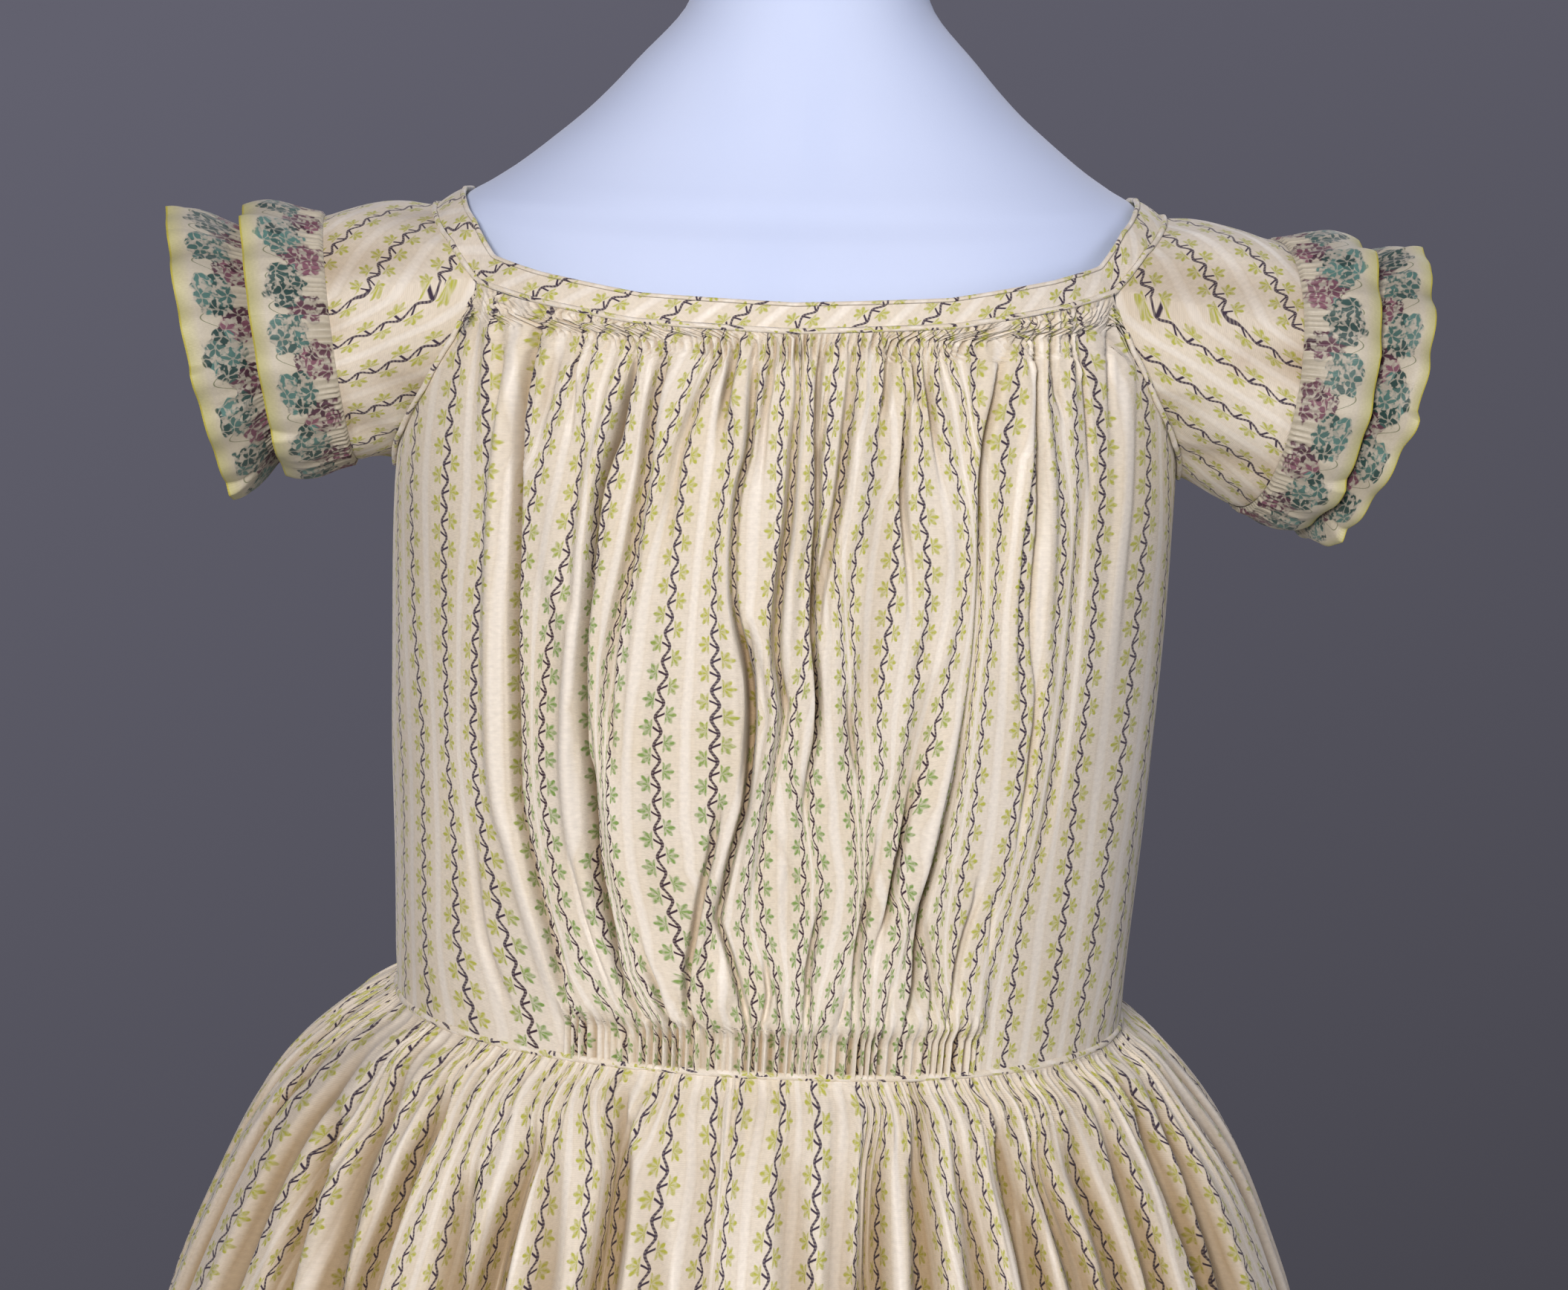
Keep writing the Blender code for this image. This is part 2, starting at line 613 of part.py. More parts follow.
def make_sleeve(name, side):
    rings = SLEEVES[name]
    turns = sleeve_turns()
    outer, inner = [], []
    for share in (0.0, 0.18, 0.45, 0.75, 1.0, 1.5, 2.0):
        outer_row, inner_row = [], []
        for turn in turns:
            cuff = ring_point(rings.cuff, turn, rings.cuff.radius)
            centre = ring_frame(rings.cuff)[0]
            if share <= 1:
                head = head_point(side, turn)
                fullness = SLEEVE_PUFF * (0.5 + 0.5 * sin(turn)) * sin(pi * share)
                puff = (cuff - centre).normalized() * fullness
                point = head.lerp(cuff, share) + puff
            else:
                hem = ring_point(rings.hem, turn, rings.hem.radius)
                point = cuff.lerp(hem, share - 1)
            middle = Vector((point.x, 0, rings.cuff.z))
            inward = (middle - point).normalized() * SLEEVE_CLOTH
            outer_row.append(leaned(*point))
            inner_row.append(leaned(*(point + inward)))
        outer.append(outer_row)
        inner.append(inner_row)
    cloth_wall("sleeve_" + name, outer, inner, True, CREAM)


def make_frill(kind, name):
    """Ribbon gathered on one edge, standing away from the sleeve towards its free edge."""
    rings, shape = SLEEVES[name], FRILLS[kind]
    if kind == "inner":
        seam, edge = rings.cuff, rings.inner_edge
    else:
        seam, edge = rings.hem, rings.outer_edge
    columns = 2 * FRILL_WAVES
    outer, inner = [], []
    for share in (0.0, 0.25, 0.6, 1.0):
        outer_row, inner_row = [], []
        for c in range(columns):
            turn = 2 * pi * c / columns + shape.phase
            start = ring_point(seam, turn, seam.radius + shape.start + RIBBON_CLOTH)
            swell = 1 + 0.10 * sin(pi * share)
            uneven = 1 + 0.3 * sin(2.3 * c + shape.phase * 5)
            height = (1 if c % 2 == 0 else -1) * uneven * shape.wave * (0.12 + 0.88 * share)
            end = ring_point(edge, turn, edge.radius * swell + height)
            point = start.lerp(end, share)
            centre = ring_frame(seam)[0].lerp(ring_frame(edge)[0], share)
            inward = (centre - point).normalized() * RIBBON_CLOTH
            outer_row.append(leaned(*point))
            inner_row.append(leaned(*(point + inward)))
        outer.append(outer_row)
        inner.append(inner_row)
    cloth_wall("frill_" + kind + "_" + name, outer, inner, True, RIBBON)


def stacked_rings(name, rings, colour, roughness):
    """A closed body from rings of points, bottom to top, with flat ends."""
    mesh = bpy.data.meshes.new(name)
    bm = bmesh.new()
    loops = [[bm.verts.new(p) for p in ring] for ring in rings]
    count = len(rings[0])
    for low, high in zip(loops, loops[1:]):
        for k in range(count):
            m = (k + 1) % count
            bm.faces.new((low[k], low[m], high[m], high[k]))
    bm.faces.new(loops[0][::-1])
    bm.faces.new(loops[-1])
    bmesh.ops.recalc_face_normals(bm, faces=bm.faces)
    bm.to_mesh(mesh)
    bm.free()
    return new_object(name, mesh, colour, roughness)


def turned(profile, steps):
    return [[Vector((r * cos(2 * pi * k / steps), r * sin(2 * pi * k / steps), z))
             for k in range(steps)] for r, z in profile]


def make_form():
    steps = 32
    rings = []
    for row in FORM_SECTIONS:
        ring = []
        for k in range(steps):
            angle = 2 * pi * k / steps
            radius = section_radius(FORM_SECTIONS, "z", row.z, angle, FORM_POWER)
            ring.append(polar(angle, radius, row.z))
        rings.append(ring)
    stacked_rings("form_torso", rings, COVER, 0.8)

    edge = 3 * MM
    base = [(BASE_RADIUS - edge, 0), (BASE_RADIUS, edge), (BASE_RADIUS, BASE_HEIGHT - edge),
            (BASE_RADIUS - edge, BASE_HEIGHT)]
    stacked_rings("stand_base", turned(base, 48), (0.55, 0.56, 0.58), 0.5)
    pole_top = FORM_SECTIONS[0].z - SEAM_GAP
    pole = [(POLE_RADIUS, BASE_HEIGHT + SEAM_GAP), (POLE_RADIUS, pole_top)]
    stacked_rings("stand_pole", turned(pole, 20), (0.6, 0.6, 0.62), 0.35)


def main():
    for item in list(bpy.data.objects):
        bpy.data.objects.remove(item, do_unlink=True)
    make_form()
    make_bodice()
    make_neckband()
    make_piping()
    make_skirt()
    for name, side in (("left", -1), ("right", 1)):
        make_sleeve(name, side)
        make_frill("inner", name)
        make_frill("outer", name)


main()
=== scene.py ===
# A girl's gathered dress of brocaded stripe on a limbless dress form, seen as in the photograph.
# x runs across the front, y into the picture and z up, all in metres; folds are given in mm.
from collections import namedtuple
from math import cos, pi, radians, sin, sqrt, tan

import bpy
import numpy as np
from mathutils import Matrix, Vector


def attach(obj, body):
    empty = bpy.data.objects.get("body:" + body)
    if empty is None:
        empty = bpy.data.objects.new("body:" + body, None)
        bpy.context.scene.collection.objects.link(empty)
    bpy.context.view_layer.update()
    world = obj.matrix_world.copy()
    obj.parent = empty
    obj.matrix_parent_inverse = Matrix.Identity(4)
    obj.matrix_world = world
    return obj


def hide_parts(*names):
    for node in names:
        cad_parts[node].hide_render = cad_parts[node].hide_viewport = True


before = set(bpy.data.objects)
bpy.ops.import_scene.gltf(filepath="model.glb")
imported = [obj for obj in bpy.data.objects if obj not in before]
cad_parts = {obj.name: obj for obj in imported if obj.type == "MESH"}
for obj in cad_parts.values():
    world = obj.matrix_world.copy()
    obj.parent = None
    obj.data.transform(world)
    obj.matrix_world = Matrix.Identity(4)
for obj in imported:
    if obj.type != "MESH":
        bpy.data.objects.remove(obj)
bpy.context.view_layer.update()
mm = 0.001
print("frame loaded")

# the body's outline, as the solids have it
body = {
    "at": [0.770, 0.800, 0.860, 0.930, 0.965, 0.996, 1.015],
    "halfWidth": [0.1078, 0.1092, 0.1124, 0.1142, 0.1118, 0.1066, 0.1060],
    "front": [0.0880, 0.0895, 0.0918, 0.0905, 0.0870, 0.0812, 0.0800],
    "back": [0.0850, 0.0865, 0.0895, 0.0910, 0.0890, 0.0830, 0.0810],
    "squareness": 2.3,
    "waist": 0.7785,
    "waistDip": 1.5 * mm,          # the waist seam is lower in front and higher behind
    "lean": tan(radians(1.9)),     # the shoulders slope, higher on the +x side
    "leanFrom": 0.79,
    "leanTo": 0.93,
    "cornerAngle": 61,             # where the front of the neckline turns up to the shoulder
    "gap": 0.3 * mm,
}
seam = {
    "neckAngles": [0, 30, 50, 61, 70, 80, 90, 100, 110, 119, 130, 150, 180],
    "neckHeights": [0.9877, 0.9893, 0.9935, 0.9966, 1.0060, 1.0115, 1.0133,
                    1.0115, 1.0060, 0.9966, 0.9938, 0.9905, 0.9895],
    "neckLean": [14, 18, 26, 34, 46, 55, 58, 55, 46, 34, 26, 18, 14],
    "bandWidth": [8.2, 8.2, 8.4, 8.8, 9.6, 10.2, 10.4, 10.2, 9.6, 8.8, 8.4, 8.2, 8.2],
    "armAngles": [61.0, 63.5, 68.8, 77.8, 90.0],
    "armHeights": [0.9950, 0.9830, 0.9678, 0.9515, 0.9380],
    "neckCord": 0.8 * mm,          # radius of each corded edge
    "waistCord": 1.1 * mm,
    "armCord": 0.75 * mm,
}


def smoothStep(x, start, end):
    t = np.clip((np.asarray(x, float) - start) / (end - start), 0, 1)
    return t * t * (3 - 2 * t)


def fadeOut(x, start, end):
    return 1 - smoothStep(x, start, end)


def curveValue(x, xs, ys):
    # smooth curve through a short table, with no overshoot between its rows
    xs = np.asarray(xs, float)
    ys = np.asarray(ys, float)
    steps = np.diff(xs)
    slopes = np.diff(ys) / steps
    before, after = slopes[:-1], slopes[1:]
    total = before + after
    same = before * after > 0
    middle = np.where(same, 2 * before * after / np.where(same, total, 1), 0)
    tangents = np.concatenate([slopes[:1], middle, slopes[-1:]])
    x = np.clip(x, xs[0], xs[-1])
    i = np.clip(np.searchsorted(xs, x, side="right") - 1, 0, len(xs) - 2)
    t = (x - xs[i]) / steps[i]
    return ((2 * t**3 - 3 * t**2 + 1) * ys[i] + (t**3 - 2 * t**2 + t) * steps[i] * tangents[i]
            + (3 * t**2 - 2 * t**3) * ys[i + 1] + (t**3 - t**2) * steps[i] * tangents[i + 1])


def planRadius(angle, halfWidth, depth, power):
    # distance from the axis to a squarish oval; angle 0 faces the front
    across = np.abs(np.sin(angle)) / halfWidth
    along = np.abs(np.cos(angle)) / depth
    return (across**power + along**power) ** (-1 / power)


def sectionRadius(table, place, angle, power):
    depth = np.where(np.cos(angle) >= 0, curveValue(place, table["at"], table["front"]),
                     curveValue(place, table["at"], table["back"]))
    halfWidth = curveValue(place, table["at"], table["halfWidth"])
    return planRadius(angle, halfWidth, depth, power)


def bodyRadius(angle, z):
    return sectionRadius(body, z, angle, body["squareness"])


def leaned(x, y, z):
    ramp = smoothStep(z, body["leanFrom"], body["leanTo"])
    return np.stack(np.broadcast_arrays(x, y, z + x * body["lean"] * ramp), axis=-1)


def polar(angle, radius, z):
    return leaned(radius * np.sin(angle), -radius * np.cos(angle), z)


def waistHeight(angle):
    return body["waist"] - body["waistDip"] * np.cos(angle)


def neckTable(angle, name):
    return np.interp(np.degrees(np.abs(angle)), seam["neckAngles"], seam[name])


def armholeHeight(angle):
    degrees = np.degrees(np.abs(angle))
    return np.interp(np.minimum(degrees, 180 - degrees), seam["armAngles"], seam["armHeights"])


def bodiceTop(angle):
    degrees = np.degrees(np.abs(angle))
    pastCorner = np.minimum(degrees, 180 - degrees) > body["cornerAngle"]
    underNeck = neckTable(angle, "neckHeights") - seam["neckCord"] - body["gap"]
    return np.where(pastCorner, armholeHeight(angle) - body["gap"], underNeck)


def makeSheet(name, points, across, along, closed=False, extra=None):
    # one cloth surface from rows of points; across and along are the cloth's own coordinates in
    # metres, and a closed one has its last column of coordinates past the last column of points
    rows, columns = points.shape[:2]
    mesh = bpy.data.meshes.new(name)
    spans = columns if closed else columns - 1
    r, c = np.meshgrid(np.arange(rows - 1), np.arange(spans), indexing="ij")
    d = (c + 1) % columns
    corners = np.stack([r * columns + c, r * columns + d, (r + 1) * columns + d,
                        (r + 1) * columns + c], axis=-1).reshape(-1, 4)
    mesh.from_pydata(points.reshape(-1, 3).tolist(), [], corners.tolist())
    across = np.broadcast_to(across, (rows, spans + 1))
    along = np.broadcast_to(along, (rows, spans + 1))
    uv = np.stack([across, along], axis=-1)
    uvCorners = np.stack([uv[r, c], uv[r, c + 1], uv[r + 1, c + 1], uv[r + 1, c]], axis=2)
    layer = mesh.uv_layers.new(name="cloth")
    layer.data.foreach_set("uv", uvCorners.reshape(-1).astype(np.float32))
    for key, values in (extra or {}).items():
        attribute = mesh.attributes.new(key, "FLOAT", "POINT")
        attribute.data.foreach_set("value", np.broadcast_to(values, (rows, columns)).reshape(-1)
                                   .astype(np.float32))
    mesh.shade_smooth()
    piece = bpy.data.objects.new(name, mesh)
    bpy.context.scene.collection.objects.link(piece)
    return piece


def finishPiece(piece, material, node):
    piece.data.materials.append(material)
    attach(piece, "root")
    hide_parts(node)


# Bodice front
bodice = {
    "columns": 690,
    "rows": 136,
    "samples": 2600,               # places round the front where the folds are worked out,
    "levels": (0.768, 1.0, 0.0022),        # and heights: from, to and step
    "sideAngle": 90,
    "flat": (0.485, 0.215),        # the whole cut, from side seam to side seam
    "cut": 0.93,                   # share of that rectangle left after the armholes
    "stripe": 14.0,                # mm of cloth from one vine to the next
    "deepest": 8.6,                # mm, where the form stops a fold
    "fullTo": (96, 112),           # mm round from centre front, where the gathers end at the side
    "fineGather": (3.4, 0.40, 3, 15),      # mm of cloth each, height, where it fades below the neck
    "midGather": (8.3, 0.55, 9, 34),
    "wideGather": (17.0, 0.35, 25, 70),
    "gauging": (-57, 67, 11.5),    # the close gathers above the waist: from, to and their height
    "neckTuck": (2.3, 0.75, 5.0, 9.5),      # mm of the seam each
    "gaugedGather": (2.5, 1.0),
    "gaugedPuff": 3.0,             # mm that the cloth stands out above the close gathers
    "sageFrom": (-84, -66),        # mm round the front; the leaves are sage between these two
    "sageTo": (42, 62),
    "foldShade": 6,                # mm of depth that shades the cloth fully
    "trough": 1.2,                 # how much a small trough is shaded
}
referenceHeight = 0.9
referenceAngles = np.radians(np.linspace(-95, 95, 1901))
referenceRadius = bodyRadius(referenceAngles, referenceHeight)
referencePlan = np.stack([referenceRadius * np.sin(referenceAngles),
                          -referenceRadius * np.cos(referenceAngles)], axis=1)
referenceArc = np.append(0, np.cumsum(np.linalg.norm(np.diff(referencePlan, axis=0), axis=1))) / mm
referenceArc = referenceArc - np.interp(0, referenceAngles, referenceArc)

# A fold: mm of flat floor, left wall and right wall, then its path down the front as
# "mm round the body from centre front, height in mm, depth in mm"; a minus depth is a ridge
Fold = namedtuple("Fold", "name floor left right path")
frontFolds = [
    Fold("soft left", 0.7, 3.5, 3.5,
         "-107.7 992 0.3; -102.4 978 1.2; -97.8 959 0.6; -95.7 943 0"),
    Fold("beside vine", 0.4, 2, 1.8,
         "-95.5 987 0.4; -91.2 973 1.4; -88.6 956 0.8; -87.9 944 0"),
    Fold("a ridge", 0.9, 5.3, 2.2,
         "-86.9 985 -0.4; -86 973 -1.5; -86.4 961 -2.2; -85.3 944 -2.4; -84.3 927 -2.6; -83.7 906 "
         "-2.6; -82.8 884 -2.4; -81.3 862 -2.2; -79 847 -2; -74.3 835 -1.6; -70.7 824 -1.6; -66.2 "
         "812 -1.4; -61.7 801 -1.2; -56.8 792 -0.5"),
    Fold("a valley", 2, 0.9, 2,
         "-81.4 987 1.2; -82 982 2.6; -82.2 975 3.6; -82.2 969 4.6; -82.2 961 5.5; -81.2 953 6.5; "
         "-79.7 940 7.2; -78.8 924 7.8; -77.8 902 8; -76.6 885 8; -75.6 868 7.5; -74.8 855 6.5; "
         "-73.1 846 5.5; -70 835 5; -67.4 825 4.6; -64 814 4.2; -60.8 804 3.8; -57.3 795 3; -52.9 "
         "789 1.5"),
    Fold("a second", 0.9, 1.8, 2.6,
         "-72.7 980 0.6; -73.4 973 2.2; -73.8 966 2.4; -74.7 958 0.8; -75.1 951 0"),
    Fold("pale roll", 1.3, 4.8, 4.8,
         "-64.3 950 0; -64.7 937 -1; -65.8 921 -1.2; -59.2 900 -1.4; -58.1 883 -1.8; -57.7 866 "
         "-1.6; -56.4 853 -1.2; -54.4 840 -0.6; -51.9 827 0"),
    Fold("fine one", 0.2, 1.1, 1.3,
         "-65.2 984 0.6; -65.7 979 1.6; -65.1 970 1.8; -64.2 962 0.9; -63.1 954 0"),
    Fold("b ridge", 0.7, 4, 1.8,
         "-50.5 981 -0.4; -50.9 971 -1; -52.4 963 -1.6; -54.1 953 -2; -55.4 940 -2.2; -56 928 "
         "-2.2; -56.4 913 -2.2; -56.6 898 -2.2; -56.7 883 -2.2; -56.7 868 -2; -55.8 853 -1.6; "
         "-54.1 840 -1.6; -50.8 827 -1.4; -47 814 -1.2; -42.7 804 -1; -38.1 795 -0.4"),
    Fold("b valley", 0.9, 0.9, 1.3,
         "-48.1 982 1.2; -47.9 977 3; -48.4 971 5; -49.7 963 6.4; -50.4 957 7; -52.3 949 7.8; "
         "-53.5 938 8.6; -53.9 928 9; -54.3 915 9; -54.5 902 9; -54.5 892 9.5; -53.9 881 9.5; "
         "-53.5 873 9.5; -52.4 864 9; -51.3 855 8.5; -50.1 847 8; -48.7 836 7; -46.7 825 6.5; "
         "-44.3 817 6; -41.5 808 5.5; -37.8 800 4.5; -33.1 793 3; -29.6 790 1"),
    Fold("b broad", 2.6, 1.5, 1.3,
         "-52 868 0; -51.2 860 2.5; -50.4 851 3.5; -49.5 840 3.5; -47.7 830 3; -45.3 821 2; -42.4 "
         "811 0.5; -41.5 808 0"),
    Fold("b top", 1.8, 1.3, 2.6,
         "-49.9 971 0; -49.9 965 2; -50.4 958 2.5; -51.8 952 1.5; -53.2 944 0"),
    Fold("satin roll", 1.1, 2.2, 3.5,
         "-47.1 947 0; -47.9 934 -0.8; -49.8 918 -1.6; -51 901 -2; -50.1 884 -2; -48.2 871 -1.8; "
         "-46.3 858 -1.4; -44.5 845 -1; -42.4 832 -0.6; -40 822 0"),
    Fold("c valley", 1.8, 1.3, 1.8,
         "-38.8 982 1; -39.4 976 3.2; -40.4 968 4.4; -40.8 959 4.6; -40.8 951 4.4; -41.5 941 3.8; "
         "-42.4 931 3.4; -43.9 920 3; -45.5 909 2.6; -46.9 897 2; -47.1 884 1.8; -46.4 871 1.2; "
         "-44.9 858 0.4; -44.2 850 0"),
    Fold("c ridge", 0.9, 2.2, 4,
         "-33.5 980 -0.4; -35.9 970 -1.2; -36.2 958 -1.6; -36.3 945 -1.6; -37.3 931 -1.6; -38.1 "
         "916 -1.4; -39.4 901 -1.2; -39.8 884 -1; -39.8 867 -0.6; -39.2 854 0"),
    Fold("c second", 0.7, 1.8, 2.6,
         "-21 982 0.5; -24.6 975 2.2; -27.5 967 2.6; -30.2 958 2.4; -31.6 950 2.2; -31.9 939 1.8; "
         "-32.5 929 1; -33.4 916 0.4; -33.7 906 0"),
    Fold("long roll", 1.8, 5.7, 5.7,
         "-28.2 964 0; -27.8 948 -0.8; -30.2 923 -1; -30.7 893 -1.2; -30.3 864 -1.2; -28.4 842 -1; "
         "-25.7 825 -0.6; -23.2 814 0"),
    Fold("d top", 0.9, 1.3, 1.8,
         "-17.3 986 0.4; -17.9 978 2.6; -18.6 972 4.2; -19.3 966 3; -19.7 960 1.2; -19.4 952 0"),
    Fold("d ridge", 0.7, 4.4, 1.5,
         "-13.4 983 -0.4; -13.6 973 -1; -13.3 960 -1.4; -14.2 950 -1.4; -15.7 938 -1.6; -15.5 923 "
         "-1.6; -14.2 911 -1.4; -12.1 898 -1.2; -10.4 882 -1.2; -9.1 865 -1.2; -9.4 854 -1.2; "
         "-11.9 843 -1; -13.9 832 -1"),
    Fold("d valley", 0.7, 0.8, 1.8,
         "-11.2 986 1.2; -11.5 979 2.8; -11.3 969 3.6; -11.1 960 4; -11.4 954 3.8; -13.1 946 3.6; "
         "-13.8 938 3.2; -13.8 928 2.8; -13.2 915 3.4; -11.7 907 5.5; -9.6 899 7; -7.5 890 7.6; "
         "-6.5 882 7.6; -6.1 873 7.2; -6.3 863 6.5; -6.8 855 6; -8.3 848 5.5; -10.1 840 4.8; -11.7 "
         "830 4.2; -13 822 3.6; -11.2 817 3.4; -8.8 811 3.8; -6.1 803 4.6; -4.1 797 4.4; -2.8 792 "
         "2"),
    Fold("d broad", 2, 1.1, 1.1,
         "-9.6 907 0; -8 899 3; -6.6 888 5; -6.1 878 5; -6.3 869 3.5; -6.7 861 1.2; -6.7 856 0"),
    Fold("satin slant", 1.1, 2.6, 2.6,
         "-7.9 913 0; -5 905 -1.4; -2.5 897 -2.4; -0.4 888 -3; 0.4 880 -2.8; -0.7 869 -2.4; -2.2 "
         "859 -2.2; -3.8 848 -2; -4.9 837 -1.6; -6.1 826 -0.8; -6.1 818 0"),
    Fold("roll low", 0.9, 2.2, 2.2,
         "-6.9 852 0; -10.9 841 -0.8; -14.7 830 -1.6; -16.7 819 -1.8; -18 808 -1.8; -18.1 797 -1; "
         "-17 791 0"),
    Fold("d low", 1.1, 1.1, 1.1,
         "-14.1 857 0; -14.4 850 2; -15.5 841 3.4; -17.3 832 3.8; -18.6 823 4.2; -19.6 815 4.8; "
         "-20.5 806 5.2; -20.2 798 4.6; -17.8 791 2.5"),
    Fold("vine fold", 0.9, 1.8, 0.9,
         "-7 981 2; -5.7 975 2.2; -6.7 965 1.8; -6.9 954 1.2; -7.1 944 0"),
    Fold("n valley", 1.1, 2, 0.9,
         "1.2 987 0.6; 2.8 973 1.2; 2.7 965 2.2; 2.3 957 3.2; 2.2 946 3.8; 1.9 936 4.2; 1 926 4.4; "
         "0.3 915 4.4; -0 905 4.2; 0.4 897 4; 1.5 892 4.6; 2.7 887 5.2; 3.5 884 4; 3.2 881 2.6; "
         "2.7 876 2; 1.5 867 1.8; 0.3 857 1.6; -0.6 850 1.2; -1.4 842 0.6; -1.3 831 0"),
    Fold("n ridge", 0.9, 1.5, 3.1,
         "5.8 973 -0.3; 5.5 961 -1.2; 4.8 949 -1.8; 4.4 932 -2; 3 918 -2; 2.8 905 -1.8; 4.2 895 "
         "-1.2; 7.1 886 -1; 8.9 876 -1.4; 7.4 863 -1.4; 6.4 851 -1; 5.8 840 -0.4; 5.8 831 0"),
    Fold("e valley", 0.6, 0.9, 1.1,
         "9.4 983 1.6; 8.5 977 3; 8.2 969 3.8; 8.4 959 3.2; 9.2 949 3.4; 9.6 936 4; 9.4 926 4.8; "
         "9.5 916 5; 9.8 907 4; 10.8 899 5.4; 12 891 6.6; 12.6 883 6.2; 12.5 877 4; 11.9 872 2.6; "
         "10.8 865 2; 10.2 857 1.6; 10.6 851 0.6; 10.9 844 0"),
    Fold("e second", 0.4, 0.7, 1.1,
         "11.4 977 0.6; 10.5 969 1.8; 9.9 959 2.2; 9.4 951 1.2; 9.2 945 0"),
    Fold("f valley", 1.5, 2, 0.9,
         "19.3 981 1.4; 18.5 973 2.2; 17.6 963 3; 16.9 953 3.6; 16 943 3.8; 14.6 934 3.4; 12.9 924 "
         "3.4; 11.4 916 3; 11 907 1.5; 11.2 903 0"),
    Fold("f ridge", 1.1, 1.3, 4.4,
         "21.1 973 -0.4; 20.5 961 -1; 20 949 -1.4; 19.1 936 -1.4; 16.8 924 -1.2; 15.3 912 -1.2; "
         "15.7 895 -1.2; 16.1 878 -1; 15.8 861 -0.6; 16.1 849 0"),
    Fold("g top", 0.9, 1.1, 1.5,
         "29.2 983 0.5; 28.9 977 2.4; 28.4 970 3; 27.3 963 1.6; 27 955 0.4; 26.9 949 0"),
    Fold("broad dip", 1.8, 4.8, 4.8,
         "29.1 961 0.3; 28.5 945 1.2; 28.1 932 1.4; 28 916 1.2; 27 901 1.4; 25.5 889 1.8; 24.4 878 "
         "1.6; 24.5 870 1; 25.9 859 0"),
    Fold("p line", 0.4, 1.1, 0.9,
         "20.7 887 0.4; 21.6 881 1.8; 22.8 874 2; 24.4 867 1.4; 26.1 862 0"),
    Fold("g valley", 1.1, 1.1, 0.9,
         "34.8 973 0.5; 34.7 965 2; 34.3 955 3.6; 33.8 947 4.2; 34.2 939 3.6; 35.3 930 2.4; 36.6 "
         "920 1.2; 37.6 907 0.4; 38 899 0"),
    Fold("g small", 0.7, 0.9, 1.1,
         "36.9 983 0.6; 37.1 977 2.6; 37.8 971 2.6; 39.1 966 0.8; 39.5 961 0"),
    Fold("g long", 0.6, 0.9, 1.3,
         "40.5 982 1; 40.8 975 2.8; 41.5 968 3.6; 42.4 961 2.8; 43.4 955 1.4; 45.1 945 0.5; 46.4 "
         "936 0"),
    Fold("g roll", 1.3, 4, 4.4,
         "46.3 949 0; 45.9 932 -0.8; 47.5 915 -1.2; 45.3 899 -1.4; 41.1 889 -1; 38.4 878 -0.6; 37 "
         "866 0"),
    Fold("grey dip", 1.8, 4.4, 4.4,
         "48.8 928 0; 47.2 916 0.8; 44.9 905 1.2; 42.5 895 1.6; 41.7 884 1.6; 40.7 872 1.6; 39.2 "
         "862 1.2; 37.9 855 0.6; 37.1 847 0"),
    Fold("h valley", 1.1, 1.1, 1.3,
         "65.3 982 0.8; 63.4 976 2.8; 61.1 968 3.8; 58.8 961 4.8; 57.1 955 5.6; 56.3 947 5.8; 56.3 "
         "940 4.2; 56.8 932 2.6; 56.9 919 1.4; 56.7 907 1; 56.2 894 1; 55.3 884 1.6; 54.3 874 2.2; "
         "53.1 863 2.8; 51.5 855 3.2; 50.2 847 3.6; 48.4 838 4.6; 46.6 831 6; 45.5 823 6.4; 45.1 "
         "815 6.2; 44.8 806 5.2; 43.7 799 4; 42.6 794 1.5"),
    Fold("h ridge", 0.9, 3.5, 1.5,
         "61.3 977 -0.4; 57.6 967 -1; 54.9 957 -1.4; 53.6 946 -1.4; 53.7 932 -1; 54 915 -0.6; 54 "
         "899 -0.4"),
    Fold("satin low", 1.5, 3.1, 1.8,
         "52.3 888 0; 50.8 878 -1.6; 49.2 868 -2.4; 47.2 857 -2.8; 45.5 847 -3; 43.9 837 -2.8; "
         "42.3 830 -2.2; 40.4 821 -1.4; 38.7 812 -0.6; 37.2 804 0"),
    Fold("k valley", 0.6, 1.5, 0.9,
         "41.5 866 0.5; 40.4 859 2; 39.4 852 3.8; 38.5 844 5; 37.3 836 5.4; 36.7 830 4.8; 35.8 824 "
         "3; 34.3 819 1.6; 32.4 812 0.8; 31.2 806 0"),
    Fold("low right", 1.1, 0.9, 1.1,
         "45 829 0; 46.6 821 2; 48.7 812 3; 50 804 3; 49.7 796 1.8; 49.5 793 0.8"),
    Fold("j dark", 0.8, 0.9, 1.1,
         "82.3 985 0.8; 81.8 978 3; 81.8 971 3.2; 83 966 1.2; 83.7 961 0"),
    Fold("j short", 0.7, 0.9, 0.9,
         "88.4 985 1; 89.1 980 2.4; 90.1 975 0.8; 90.6 972 0"),
    Fold("j long", 0.7, 0.9, 1.1,
         "92.7 977 1.4; 92.3 969 3; 92.5 961 2.8; 92.7 954 1.4; 92.9 944 0.4; 92.9 938 0"),
    Fold("j side", 1.1, 1.3, 1.5,
         "106.6 990 0.8; 104.1 983 2; 102.6 975 2; 101.9 967 1; 101.5 954 0.3; 101.1 944 0"),
    Fold("i valley", 0.8, 0.9, 1.1,
         "75.2 987 1; 75.9 980 3; 75.1 972 4.2; 74.7 962 4.8; 74.7 952 5; 74.6 944 4.6; 74.3 933 "
